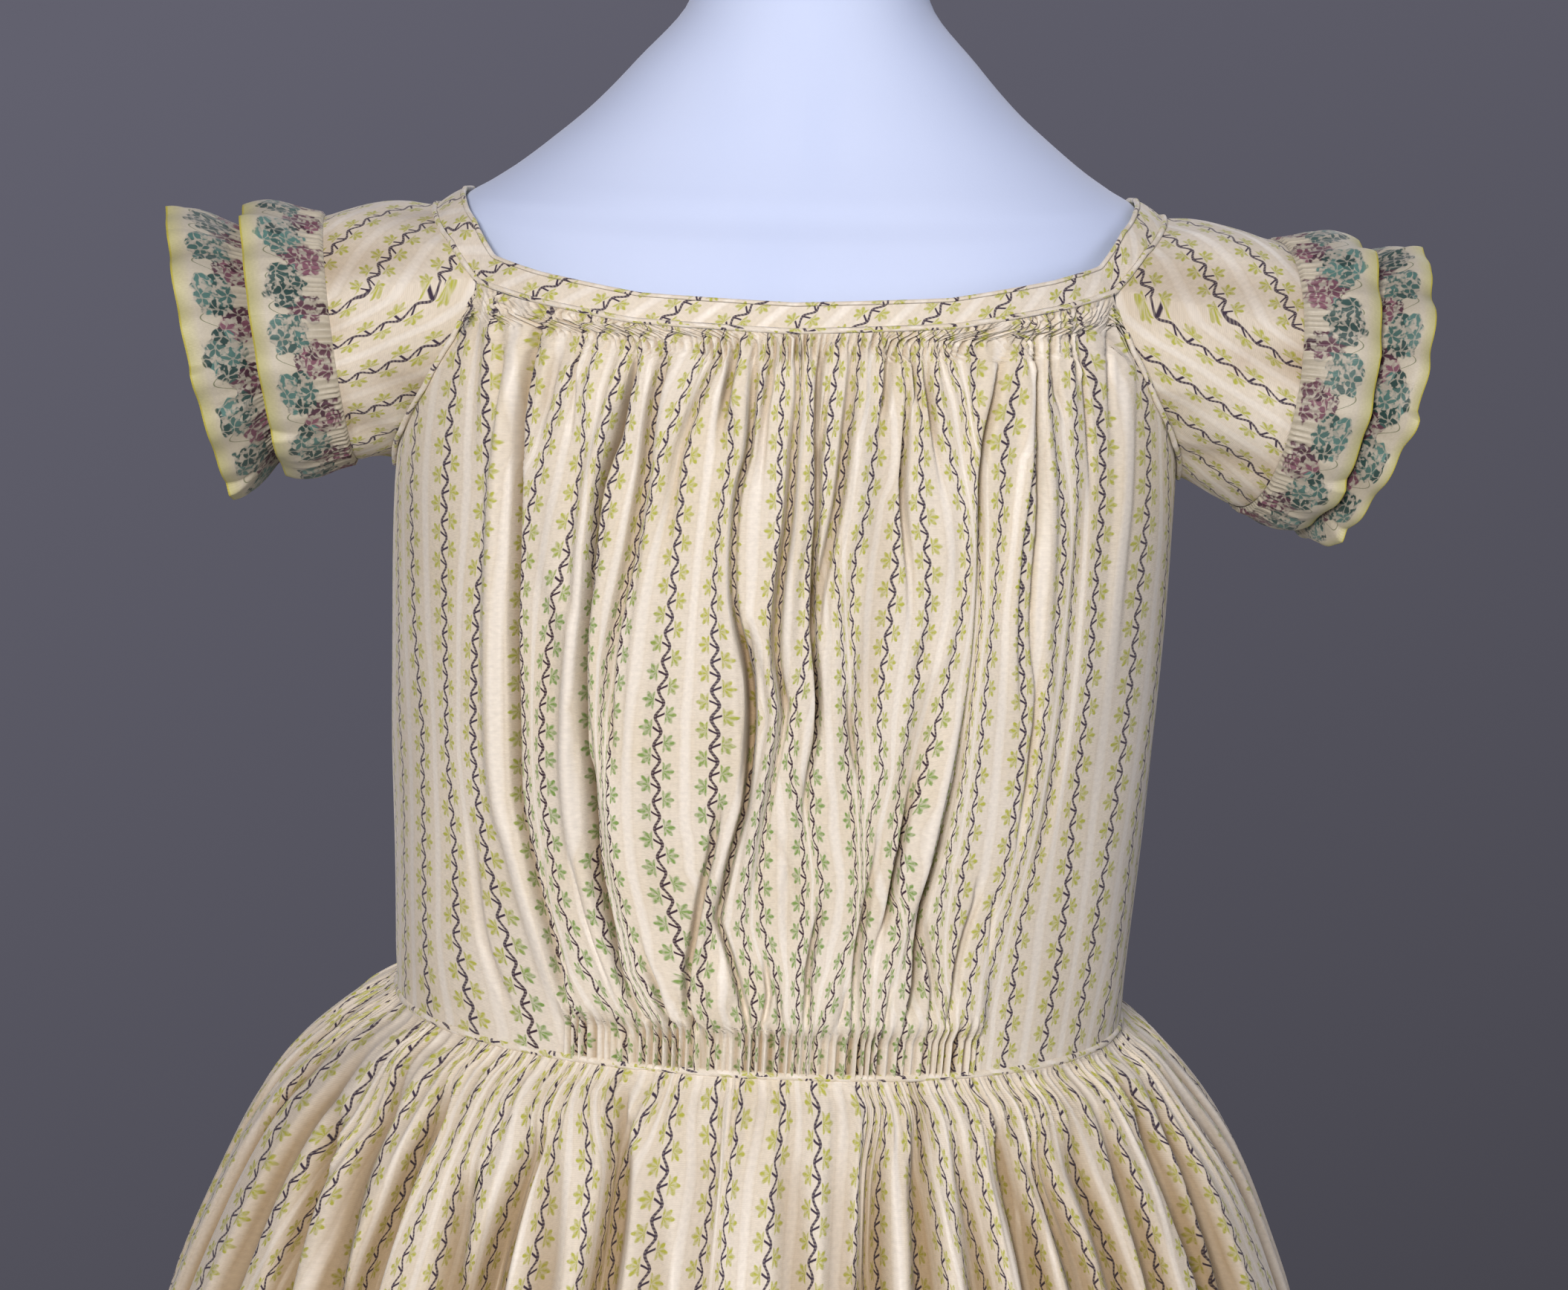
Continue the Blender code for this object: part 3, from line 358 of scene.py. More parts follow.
         "3.6; 73.6 923 2.6; 73.3 910 1.8; 74.4 898 1; 76.6 887 1.6; 76.7 879 2.6; 76 870 3.2; "
         "75.5 862 2.8; 74.7 854 1.6; 74.1 845 0.6; 73.8 839 0"),
    Fold("i ridge", 0.9, 3.1, 1.3,
         "73.4 976 -0.6; 71.8 964 -1.4; 70.5 952 -1.8; 68.6 940 -1.8; 67.1 927 -1.8; 66.9 915 "
         "-1.6; 67.4 902 -1.4; 68.7 890 -0.8; 69.8 879 0"),
    Fold("i right", 1.1, 1.3, 3.5,
         "77.2 964 -0.6; 77.4 948 -1.4; 77.5 931 -1.4; 77.5 916 -1.2; 77.8 902 -1; 80.1 887 -0.4; "
         "81.6 876 0"),
    Fold("side roll", 1.8, 4, 4.4,
         "111.2 978 -0.8; 108.4 962 -1.2; 106.7 945 -1.2; 105.3 920 -1; 104.8 899 -0.6; 104.7 878 "
         "0"),
    Fold("side dip", 1.3, 2.6, 3.1,
         "90.2 947 0; 89.3 930 0.8; 88.2 909 0.8; 87.4 888 0.6; 84.8 863 0.8; 82.5 845 0.6; 80.6 "
         "834 0"),
    Fold("m valley", 0.9, 1.1, 1.1,
         "62 836 0; 62.1 830 1.4; 60.8 824 2.2; 59 817 3; 57.4 810 3.6; 56.3 802 3; 55.1 795 1.4"),
    Fold("m hook", 0.3, 0.7, 0.9,
         "49.4 851 0; 50.6 844 1.8; 53 839 1.2; 55.6 835 0.4; 57.1 834 0"),
    Fold("m small", 0.3, 0.7, 0.7,
         "67.2 831 0; 67.6 823 1.2; 67.7 817 0.8; 67.4 812 0"),
    Fold("side soft", 0.9, 2.2, 2.6,
         "-90.9 845 0; -89.8 830 0.9; -88.5 817 1.2; -85.9 806 1.4; -81.6 798 1.2; -77.5 791 0.6; "
         "-74.7 786 0"),
    Fold("wrinkle one", 0.3, 0.7, 0.9,
         "-65.3 836 0; -64.1 827 1; -61.9 818 1; -58.4 808 0.9; -53.8 798 0.8; -50.2 792 0"),
    Fold("wrinkle two", 0.3, 0.7, 0.9,
         "-56.7 839 0; -54.9 831 0.9; -52.1 821 1; -48.3 812 1; -44 804 0.8; -39.4 795 0"),
    Fold("u valley", 0.8, 1.3, 1.1,
         "-36.9 820 0; -34.5 812 1; -32.3 807 2.6; -29.7 802 4; -28.2 798 4.4; -26.1 793 4; -23.4 "
         "790 1.5"),
    Fold("u second", 0.7, 1.1, 1.3,
         "-24.9 803 0; -23.3 798 1.4; -21 794 2.6; -18.7 792 2; -17.4 790 0.6"),
    Fold("puff", 2.6, 4, 4,
         "-11.3 811 0; -11 804 -1.8; -11.2 799 -2.2; -11.7 793 -0.8"),
    Fold("x one", 0.6, 0.9, 0.9,
         "0.9 813 0; 2.1 806 2.6; 2.8 801 3.4; 2.2 796 3; 1.5 792 1"),
    Fold("x two", 0.4, 0.9, 0.9,
         "4.6 807 0; 5.6 801 1.8; 6.3 795 2.4; 6.5 792 0.8"),
    Fold("y one", 0.8, 1.1, 1.1,
         "17.6 829 0; 15.9 823 1.8; 14.7 815 2.8; 13.9 808 3.8; 13.9 801 3.2; 13.6 795 2"),
    Fold("y two", 0.3, 0.9, 0.7,
         "24.9 804 0; 24.3 799 1.6; 23.1 794 1.6; 22.7 791 0.6"),
    Fold("y roll", 1.3, 2.6, 2.6,
         "21.6 810 0; 20.7 801 -1.2; 19.4 794 -0.8"),
    Fold("z one", 0.9, 1.3, 1.1,
         "31.8 851 0; 31.7 843 1.2; 30.1 833 2.2; 29 823 2.8; 27.9 815 3.2; 27.5 806 3; 27.5 797 "
         "2.2; 27.4 792 0.8"),
    Fold("z two", 0.3, 0.9, 0.9,
         "37.7 806 0; 37.2 801 1.6; 36.4 795 1.4; 36.2 792 0.4"),
    Fold("slant one", 0.3, 1.3, 1.1,
         "-0.7 852 0; 2.7 846 0.9; 6.3 838 1; 9.8 830 0.9; 12.2 825 0"),
    Fold("slant two", 0.3, 1.8, 1.5,
         "8.1 842 0; 6.2 832 0.8; 7.1 823 0.8; 9 812 0"),
]
# Where each woven vine runs down the front: millimetres round the body from centre front,
# at the heights below; from one vine to the next there are 14 mm of cloth, often in a fold
vineHeights = [992, 982, 970, 955, 940, 925, 910, 895,
               880, 865, 850, 835, 820, 805, 792, 781]
frontVines = [
    [-144.2, -144.2, -144.2, -144.2, -144.2, -141.3, -137.5, -135.2, -134.7, -134.7, -131.4, -130.3,
     -131.7, -132.4, -132.2, -132.1],
    [-131.6, -131.8, -130.1, -129.7, -128.3, -125.8, -123.7, -121.5, -118.1, -114.7, -113.9, -113.4,
     -113.7, -114.1, -114.2, -111.5],
    [-109.6, -109.8, -108.1, -107.7, -106.3, -105.2, -104.5, -103.5, -102.3, -101.2, -99.1, -97.6,
     -97.4, -97.2, -92.9, -89.5],
    [-97.3, -97.9, -95.4, -91.4, -88.3, -88.3, -89.9, -90.4, -90.2, -89.9, -88.2, -85.2, -81.1, -76,
     -70.9, -67.5],
    [-76.3, -80.1, -79.2, -77.6, -79.3, -79.5, -79.2, -78.4, -77.4, -76.3, -75, -70.7, -65.7, -61.1,
     -55, -53.2],
    [-63.1, -64.9, -67.6, -70.5, -73.4, -75.2, -75.4, -74, -72.5, -71.3, -69.7, -66.9, -63.1, -58.2,
     -52.2, -50.6],
    [-57.9, -59.5, -60.8, -59, -59.2, -61, -64, -65.6, -66.7, -66.6, -64.8, -61.9, -58.3, -50.4, -40,
     -37.7],
    [-48.6, -49.5, -51.7, -53.1, -54.4, -55, -55.1, -55.1, -54.6, -52.2, -50.1, -50.1, -47.2, -41.2,
     -35, -32.6],
    [-46.4, -46.1, -46.7, -47.8, -50.3, -52.1, -52.8, -52.2, -51, -49.3, -47.6, -46.1, -43.2, -38.1,
     -30, -27.8],
    [-37.3, -38.2, -40.5, -40.6, -41, -42.7, -45.6, -48.1, -48.2, -47, -45.6, -44.1, -41, -36.1,
     -27.9, -24.5],
    [-26.1, -26.8, -30.9, -35, -37.2, -40.2, -43, -44.5, -45.6, -45.7, -44.8, -43.3, -39.6, -34.5,
     -25.3, -22.3],
    [-20.2, -21.7, -26.2, -28.3, -28.8, -29.1, -29.7, -30.3, -31.4, -31.4, -30.6, -28.6, -24.7, -21.3,
     -18.5, -17.8],
    [-14.2, -15.7, -17.6, -15.6, -17.1, -18.1, -18, -16.7, -16, -15.7, -15.6, -16, -14.5, -16.9,
     -13.6, -12.6],
    [-7.4, -7.1, -8.9, -11, -14.1, -14.1, -11.9, -6.2, -4.4, -5.2, -7.9, -11.1, -12.2, -7.2, -3.7,
     -3.7],
    [-3.5, -2.2, -2.2, -1.9, -1, -1.3, -2.5, -1.1, 1, -0.7, -2.6, -4.8, -5.8, -1.8, -0.6, -0.6],
    [1.8, 2.3, 3.2, 2.7, 1.9, 1.1, 0.4, 1, 2.6, 0.6, -0.9, -1.5, 0.1, 5.1, 6.2, 6.2],
    [4.7, 4.6, 6.1, 7.7, 7.8, 7.3, 8.6, 8.2, 5.1, 5.6, 9.8, 11.1, 11.3, 10.6, 11.4, 11.4],
    [14.3, 13.8, 12.5, 11.5, 10.7, 9.9, 10.6, 11.8, 12.8, 11.4, 12.4, 15.9, 16, 14.9, 14.8, 14.8],
    [20, 20.4, 19.6, 17.6, 15.8, 14.6, 17.1, 18.9, 20.1, 21.7, 24.1, 25.9, 25.9, 20.9, 17.3, 17.3],
    [25.9, 26.8, 27, 25.3, 23.4, 20.2, 20.1, 22.1, 23.4, 25, 26.1, 27.5, 27.5, 26.4, 26.4, 26.4],
    [30.9, 32.3, 34.3, 34.1, 32.2, 32.1, 31.4, 30, 29.4, 31.2, 27.9, 28.7, 29.6, 29.5, 29.9, 29.9],
    [38.4, 38.2, 38.6, 38.3, 38.7, 41.1, 41.8, 40.4, 38.1, 36.7, 35.9, 36.5, 39, 35.4, 34.9, 34.9],
    [43.5, 43.2, 43.3, 46.8, 50.9, 52.8, 51.6, 49, 46.2, 42.9, 39.5, 38.5, 41.8, 42.4, 42.2, 42.2],
    [46.3, 46.8, 51.2, 52.7, 54, 55.5, 55.8, 55.2, 54.1, 52.5, 50, 47.5, 46, 48.2, 50.1, 50.1],
    [56.2, 54.9, 54, 55.7, 56.4, 57.2, 57.9, 57.1, 56.2, 55, 53.1, 51.3, 50.4, 51.6, 54.1, 54.1],
    [72.8, 70.9, 66.9, 63.2, 62.1, 61.6, 61, 60.3, 59.6, 59, 58.2, 56.4, 55.9, 55.5, 55.5, 55.5],
    [74.8, 75.2, 74.7, 73.8, 70.7, 69.2, 69, 70.7, 72.6, 72.3, 71.2, 69.7, 65, 60.9, 59.7, 59.7],
    [80.9, 80.4, 78.9, 79.5, 82.2, 83.4, 82.1, 80.5, 79.4, 78.8, 77.2, 74.5, 71, 67.8, 66.3, 66.3],
    [88.3, 88.1, 87.2, 87.3, 87.5, 87.8, 87.2, 86.4, 85.6, 84.6, 83, 80, 77.1, 76.7, 76.3, 76.2],
    [93, 93.1, 96.3, 97.5, 96.9, 96.1, 95.4, 95.3, 94.8, 93.9, 93.3, 94, 94.2, 93.8, 92.3, 91],
    [115, 115.1, 118.3, 119.5, 118.9, 117.8, 117.3, 117, 116.3, 115.2, 112.9, 111.2, 109.8, 108.8,
     107.5, 106.5],
    [136, 136, 136, 136, 136.4, 139.8, 139.3, 139, 138.3, 134.3, 131.8, 130.6, 130.2, 128.6, 123.4,
     120.7],
]


def readPath(path):
    knots = np.array([[float(n) for n in knot.split()] for knot in path.split(";")])
    knots = knots[np.argsort(knots[:, 1], kind="stable")]
    knots[:, 1] += np.arange(len(knots)) * 0.01
    return knots


frontPaths = [readPath(fold.path) for fold in frontFolds]


def foldWall(off, fold, spread=1):
    # 1 on the fold's floor, falling to 0 over its two walls
    half = fold.floor * spread / 2
    return np.where(off < 0, smoothStep(off, -half - fold.left * spread, -half),
                    fadeOut(off, half, half + fold.right * spread))


def foldHeights(place, height):
    # sum of the front's folds at each place; one whose end is still deep fades over runOut mm
    runOut = 4
    total = np.zeros(np.broadcast(place, height).shape)
    for fold, path in zip(frontFolds, frontPaths):
        centre = curveValue(height, path[:, 1], path[:, 0])
        depth = curveValue(height, path[:, 1], path[:, 2])
        depth = depth * fadeOut(height, path[-1, 1], path[-1, 1] + runOut)
        depth = depth * smoothStep(height, path[0, 1] - runOut, path[0, 1])
        total -= depth * foldWall(place - centre, fold)
    return total


def gatherWave(cloth, pitch):
    # uneven gathers along the cloth, about one for each pitch, between -1 and 1
    phase = 2 * pi * cloth / pitch
    phase = phase + 1.2 * np.sin(phase / 4.3) + 0.9 * np.sin(phase / 7.7 + 2)
    height = 1 + 0.35 * np.sin(phase / 11.3 + 1)
    return height * (np.sin(phase) - 0.25 * np.cos(2 * phase)) / 1.25


def closeGathers(place, below, above):
    # the small close gathers under the neckband and in the gauged band above the waist, in mm, and
    # how much a place belongs to that band
    start, stop, gauged = bodice["gauging"]
    inGauging = smoothStep(place, start - 3, start + 3) * fadeOut(place, stop - 3, stop + 3)
    pitch, size, fadeFrom, fadeTo = bodice["neckTuck"]
    fanned = place + 0.012 * below * place             # the tucks spread a little below the seam
    reach = below + 1.5 * np.sin(place / 2.9)          # and aren't all as long
    tucks = (size * gatherWave(fanned, pitch) * fadeOut(np.abs(place), *bodice["fullTo"])
             * fadeOut(reach, fadeFrom, fadeTo))
    pitch, size = bodice["gaugedGather"]
    close = size * gatherWave(place, pitch) * inGauging * fadeOut(above, gauged - 1, gauged + 9)
    return tucks, close, inGauging


def frontHeight(place, cloth, z):
    # mm that the front stands out from the body's outline
    angle = np.interp(place, referenceArc, referenceAngles)
    below = (bodiceTop(angle) - z) / mm
    above = (z - waistHeight(angle)) / mm
    gauged = bodice["gauging"][2]
    tucks, close, inGauging = closeGathers(place, below, above)
    folds = foldHeights(place, z / mm)
    folds = folds * (0.30 + 0.70 * smoothStep(below, 0, 8))        # the seams hold them flatter
    folds = folds * (1 - inGauging * fadeOut(above, gauged - 3, gauged + 3))
    folds = folds * smoothStep(above, 0, 5)
    lateral = fadeOut(np.abs(place), *bodice["fullTo"])
    ruffled = np.zeros_like(folds)
    for key in ("fineGather", "midGather", "wideGather"):
        pitch, size, fadeFrom, fadeTo = bodice[key]
        ruffled += size * gatherWave(cloth, pitch) * fadeOut(below, fadeFrom, fadeTo) * lateral
    ruffled += tucks
    puff = bodice["gaugedPuff"] * inGauging * smoothStep(above, gauged - 2, gauged + 5)
    puff = puff * fadeOut(above, 16, 44)
    height = folds + ruffled * smoothStep(below, -0.5, 1.5) + close + puff
    ripple = 0.25 * np.sin(place / 9 + 1.3 * np.sin(z / 0.021))
    height = height + ripple * (1 - inGauging) * smoothStep(above, 3, 12)
    deepest = bodice["deepest"]
    return np.where(height < 0, deepest * np.tanh(height / deepest), height)


def clothAcross(fine, arc, z):
    # mm of cloth round the front: the vines are 14 mm apart, and between two of them the cloth is
    # shared out by the length of its own line, arc, so that it isn't stretched in a fold
    vinesHere = [np.interp(z / mm, vineHeights[::-1], row[::-1]) for row in frontVines]
    last = len(frontVines) - 1
    arcs = np.interp(vinesHere, fine, arc)
    knots = [arc[0], *arcs, arc[-1]]
    cloth = [-(arcs[0] - arc[0])] + [bodice["stripe"] * k for k in range(last + 1)]
    cloth.append(bodice["stripe"] * last + arc[-1] - arcs[-1])
    return curveValue(arc, knots, cloth)


def seamRows(count):
    # shares of the way up from the waist seam, closer to each other at both seams
    share = np.linspace(0, 1, count)[:, None]
    return share - 0.05 * np.sin(2 * pi * share)


def seamHeights(angle):
    # where a bodice piece starts at the waist and ends under the neckband or the armhole
    return waistHeight(angle) + 0.2 * mm, bodiceTop(angle) + body["gap"]


def makeFront(material):
    levels = np.arange(*bodice["levels"])
    limit = np.interp(radians(bodice["sideAngle"]), referenceAngles, referenceArc)
    fine = np.linspace(-limit, limit, bodice["samples"])
    shares = np.linspace(0, 1, bodice["columns"])
    placeAt, clothAt = [], []
    for z in levels:
        cloth = clothAcross(fine, fine, z)
        height = frontHeight(fine, cloth, np.full_like(fine, z))
        arc = np.append(0, np.cumsum(np.hypot(np.diff(fine), np.diff(height))))
        cloth = clothAcross(fine, arc, z)
        # the columns follow the cloth and the length of its line, half and half
        mix = 0.5 * (cloth - cloth[0]) / (cloth[-1] - cloth[0]) + 0.5 * arc / arc[-1]
        placeAt.append(np.interp(shares, mix, fine))
        clothAt.append(np.interp(placeAt[-1], fine, cloth))
    placeAt, clothAt = np.array(placeAt), np.array(clothAt)
    up = seamRows(bodice["rows"])
    column = np.arange(bodice["columns"])[None, :]
    # a row's height depends on its place round the body, and its place on its height, so both are
    # settled step by step from a first guess
    z = np.broadcast_to(0.778 + 0.2 * up, (bodice["rows"], bodice["columns"]))
    for settle in range(30):
        spot = np.clip((z - levels[0]) / (levels[1] - levels[0]), 0, len(levels) - 1.001)
        low = spot.astype(int)
        part = spot - low
        place = placeAt[low, column] * (1 - part) + placeAt[low + 1, column] * part
        cloth = clothAt[low, column] * (1 - part) + clothAt[low + 1, column] * part
        angle = np.interp(place, referenceArc, referenceAngles)
        bottom, top = seamHeights(angle)
        z = 0.5 * z + 0.5 * (bottom + up * (top - bottom))
    height = frontHeight(place, cloth, z)
    points = polar(angle, bodyRadius(angle, z) + height * mm, z)
    sageTop = 0.925 - 0.045 * smoothStep(place, -50, -20) + 0.006 * np.sin(place / 7)
    sage = (smoothStep(place, *bodice["sageFrom"]) * fadeOut(place, *bodice["sageTo"])
            * fadeOut(z, sageTop - 0.02, sageTop + 0.02))
    # painted shade: the cloth is darker the deeper its folds, and in the troughs of the small tucks and
    # close gathers
    tucks, close, _ = closeGathers(place, (top - z) / mm, (z - bottom) / mm)
    troughs = bodice["trough"] * (np.clip(-tucks - 0.05, 0, 1) + np.clip(-close - 0.05, 0, 1))
    shade = np.clip(-height / bodice["foldShade"] + troughs, 0, 1)
    piece = makeSheet("cloth_bodice_front", points, cloth * mm, z,
                      extra={"sage": sage, "inFold": shade})
    finishPiece(piece, material, "bodice_front")


# Bodice backs; a gather is mm of cloth each, height, where it fades, and the other side's shift
back = {
    "columns": 240,
    "rows": 96,
    "fromCentre": 0.15,            # mm to the opening at centre back
    "radius": 0.092,               # metres, for mm round the back
    "fullness": 1.32,              # mm of cloth for each mm round
    "flat": (0.200, 0.215),
    "cut": 0.93,
    "waistPull": 0.30,             # how much less cloth lies above the waist at centre back
    "neckGather": (3.6, 0.5, 3, 15, 0),
    "wideGather": (9.0, 0.9, 10, 60, 40),
    "waistGather": (4.4, 0.5, 8, 20),
    "softFold": (14.5, 1.5, 25),
    "facing": 0.8,                 # mm that the opening's edge stands out
}


def makeBack(side, material):
    # side -1 is the wearer's left back as seen from the front, 1 the right
    opening = back["fromCentre"] * mm / 0.09
    up = seamRows(back["rows"])
    angle = pi / 2 + (pi / 2 - opening) * np.linspace(0, 1, back["columns"])[None, :] + 0 * up
    bottom, top = seamHeights(angle)
    z = bottom + up * (top - bottom)
    fromCentre = (pi - angle) * back["radius"] / mm
    cloth = back["fullness"] * fromCentre + 0 * z
    below, above = (top - z) / mm, (z - bottom) / mm
    waistPull = 1 - back["waistPull"] * fadeOut(above, 0, 70) * fadeOut(fromCentre, 40, 120)
    height = np.zeros_like(z)
    for key in ("neckGather", "wideGather"):
        pitch, size, fadeFrom, fadeTo, shift = back[key]
        wave = gatherWave(cloth * waistPull + shift * (side > 0), pitch)
        height += size * wave * fadeOut(below, fadeFrom, fadeTo)
    pitch, size, fadeFrom, fadeTo = back["waistGather"]
    height += size * gatherWave(cloth / waistPull, pitch) * fadeOut(above, fadeFrom, fadeTo)
    pitch, size, shift = back["softFold"]
    betweenSeams = smoothStep(above, 4, 22) * smoothStep(below, 4, 25)
    height += size * gatherWave(cloth / waistPull + shift * side, pitch) * betweenSeams
    height = height * fadeOut(fromCentre, 78, 100) * smoothStep(fromCentre, 0, 4)
    height += back["facing"] * fadeOut(fromCentre, 0, 7)
    turned = side * angle
    points = polar(turned, bodyRadius(turned, z) + height * mm, z)
    if side > 0:
        points, cloth, z, height = [part[:, ::-1] for part in (points, -cloth, z, height)]
    name = "bodice_back_left" if side < 0 else "bodice_back_right"
    # painted shade, darker in the gathers' troughs
    piece = makeSheet("cloth_" + name, points, cloth * mm, z,
                      extra={"sage": 0.0, "inFold": np.clip(-height / bodice["foldShade"], 0, 1)})
    finishPiece(piece, material, name)


# Skirt
skirt = {
    "at": [0, 10, 36, 60, 100, 180, 300, 420, 520],      # mm below the waist seam
    "halfWidth": [0.1080, 0.1215, 0.1440, 0.1560, 0.1705, 0.1850, 0.1960, 0.2030, 0.2080],
    "front": [0.0882, 0.1010, 0.1210, 0.1340, 0.1495, 0.1680, 0.1820, 0.1910, 0.1970],
    "back": [0.0860, 0.1040, 0.1290, 0.1450, 0.1620, 0.1800, 0.1930, 0.2010, 0.2070],
    "leftFullness": 3.5,           # mm further out at the left
    "creaseDepth": 1.55,           # times the depths in the table of creases
    "hemDrop": 0.5186,             # metres from the waist seam to the hem
    "closeRows": 56,               # rows lie closer down to closeTo, in mm below the waist
    "closeTo": 80,
    "wideRows": 42,
    "panels": ["skirt_front", "skirt_side_right", "skirt_back_right", "skirt_back_left",
               "skirt_side_left"],
    "columns": [420, 350, 250, 250, 350],
    "flat": (0.252, 0.556),        # a width of the cloth, with its hem's turning
    "evenDegrees": 4.0,            # 90 vines in the whole skirt
    "middleVine": 18.6,            # the vine number at centre front
    "relaxed": (75, 300),          # mm below the waist, where the vines come to lie evenly
    "seamGather": (4.4, 0.75, 5, 22),
    "softGather": (11.5, 0.8, 10, 60),
    "hemFold": 4.6,                # mm, half the depth of the hem's folds
    # how much larger or smaller each of the eight folds is
    "uneven": [1.15, 0.75, 1.0, 0.6, 1.25, 0.85, 0.7, 1.1],
    "turning": 22,
}
# each vine's number, then its degrees from centre front at 5, 25, 50 and 75 mm below the waist
skirtVines = [
    (0, -74, -72, -69, -70), (1, -64, -60.1, -61, -61.9), (3, -60.7, -54, -54.7, -54.9),
    (4, -53.1, -50.6, -48.4, -48), (6, -48.3, -43.9, -43.4, -43.4), (7, -44.4, -41.6, -40.7, -40.4),
    (9, -38.9, -36.1, -33.7, -33.3), (10, -35, -31.8, -31.9, -31.9), (12, -30.3, -27.7, -26, -25.8),
    (13, -27.8, -22, -20, -19.9), (14, -24.2, -19.6, -18.6, -18.4), (15, -16.5, -18.6, -17.2, -17),
    (16, -13, -12.1, -12.4, -12.4), (17, -6.5, -5.2, -5.6, -5.6), (18, -2.2, -2.9, -2.8, -2.8),
    (19, 5, 3.5, 2.7, 2.7), (20, 10.6, 9.4, 8.3, 8.3), (21, 18.5, 15.3, 14.1, 14.1),
    (23, 22, 18.7, 17.2, 17.2), (24, 25, 23.2, 22.3, 22.3), (26, 29.2, 27.6, 27.9, 27.9),
    (28, 35.3, 32.7, 32.1, 32.1), (30, 41.4, 38.9, 37.8, 37.8), (32, 47, 42.9, 43.9, 43.9),
    (34, 54.4, 51.9, 50.5, 50.3), (36, 62.5, 59.8, 57.6, 57), (38, 73.5, 68.9, 68.7, 70),
    (39, 76, 72.7, 73.2, 74.9), (40, 80, 76.5, 77.6, 79.4),
]
# creases below the waist: degrees of floor, left wall and right wall, then the path down as
# "degrees, mm below the waist, mm of depth"
SkirtFold = namedtuple("SkirtFold", "floor left right path")
skirtFolds = [
    SkirtFold(0.7, 2, 1.3, "-64.1 19 0; -59.4 29 2; -57.5 40 3; -56.6 52 3.6; -55.2 69 4"),
    SkirtFold(0.7, 1.8, 1.3, "-50.6 7 0; -46.6 16 2; -45.8 28 3.4; -44.9 42 4.2; -44.4 60 5"),
    SkirtFold(0.7, 1.8, 1.8, "-38.2 24 0; -37.2 34 2; -36.2 43 2.6; -35 56 3"),
    SkirtFold(0.7, 1.8, 1.3, "-32.2 33 0; -31.7 43 1.2; -31.5 55 2.2"),
    SkirtFold(0.9, 1.8, 1.3, "-31.5 12 0; -30.8 22 2.4; -30.6 35 3.4; -30 55 4.2"),
    SkirtFold(0.9, 2.2, 1.8, "-23.5 3 1; -20.3 13 2.8; -18.3 26 3.8; -17.4 41 4.6; -17.3 51 5"),
    SkirtFold(0.9, 2.2, 1.8, "20.7 5 0; 18.7 16 2; 17.5 30 3.4; 16.4 48 4.4"),
    SkirtFold(0.7, 2, 1.8, "28.6 1 1; 26.2 13 2.6; 24.3 25 3.6; 23.3 41 4.2; 22.9 48 4.4"),
    SkirtFold(0.9, 1.8, 1.8, "41 6 0; 37.6 16 2.4; 36.6 28 3.4; 36.4 50 4.6"),
    SkirtFold(0.7, 1.5, 2, "56.5 8 0; 53.6 25 2.2; 52.6 36 3.2; 52 54 4"),
    SkirtFold(0.9, 1.5, 2, "65.5 8 1.2; 62.2 20 3; 60.8 29 3.8; 60 43 4.4; 60 60 5"),
    SkirtFold(0.7, 2.2, 2.2, "-7.5 8 0; -6.4 21 1.2; -6 35 1.4; -5.6 49 1.5"),
    SkirtFold(0.7, 2.2, 2.2, "5.6 10 0; 5.9 24 1.6; 6.5 48 2.4"),
    SkirtFold(0.7, 2, 2, "-29.1 14 0; -26.5 28 1.6; -24.8 44 2.6; -24.3 53 3"),
    SkirtFold(0.7, 2, 2, "-14.9 12 0; -13.3 26 1; -11.4 50 1.6"),
    SkirtFold(0.7, 2, 2, "13.6 11 0; 12.8 27 1.4; 12.1 48 2.2"),
    SkirtFold(0.7, 2, 2, "32 9 0; 30.5 24 2; 29.6 48 3.4"),
    SkirtFold(0.7, 2, 2, "46 9 0; 41.5 23 1.8; 42 51 3.2"),
    SkirtFold(0.7, 2, 2, "50 9 0; 47 25 2.2; 46.8 50 3"),
    SkirtFold(0.7, 2, 2, "-58.7 8 0; -53.4 21 1.6; -51.4 38 2.4; -49.2 64 3.4"),
    SkirtFold(0.8, 2, 2, "-70 6 0; -66 22 2; -65 40 3; -64.5 70 4"),
    SkirtFold(0.8, 2, 2, "-78 6 0; -76 24 2; -76 45 3.4; -76 70 4.2"),
    SkirtFold(0.8, 2, 2, "72 8 0; 67 22 2; 65 45 3.4; 65 70 4"),
    SkirtFold(0.8, 2, 2, "80 6 0; 79.5 24 1.6; 80 45 3; 80 70 3.6"),
]
# behind, where none can be read, creases of like sizes lie about 8 degrees apart
for k in range(23):
    place = 87.5 + 8.45 * k + 1.5 * sin(2.4 * k)
    deep = 3.9 + 0.9 * sin(1.7 * k + 1)
    start = 9 + 5 * sin(3.1 * k)
    path = (f"{place + 1.5 * sin(k)} {start} 0; {place} {start + 16} {deep * 0.5}; "
            f"{place} {start + 45} {deep}")
    skirtFolds.append(SkirtFold(0.8, 2.1, 1.9, path))
skirtPaths = [readPath(fold.path) for fold in skirtFolds]
skirtSpot = (3.5 * 14, 700)        # a small rust mark: mm of cloth across, and height


def turnedTo(degrees, start):
    # the same angle, taken within one full turn from start
    return (degrees - start) % 360 + start


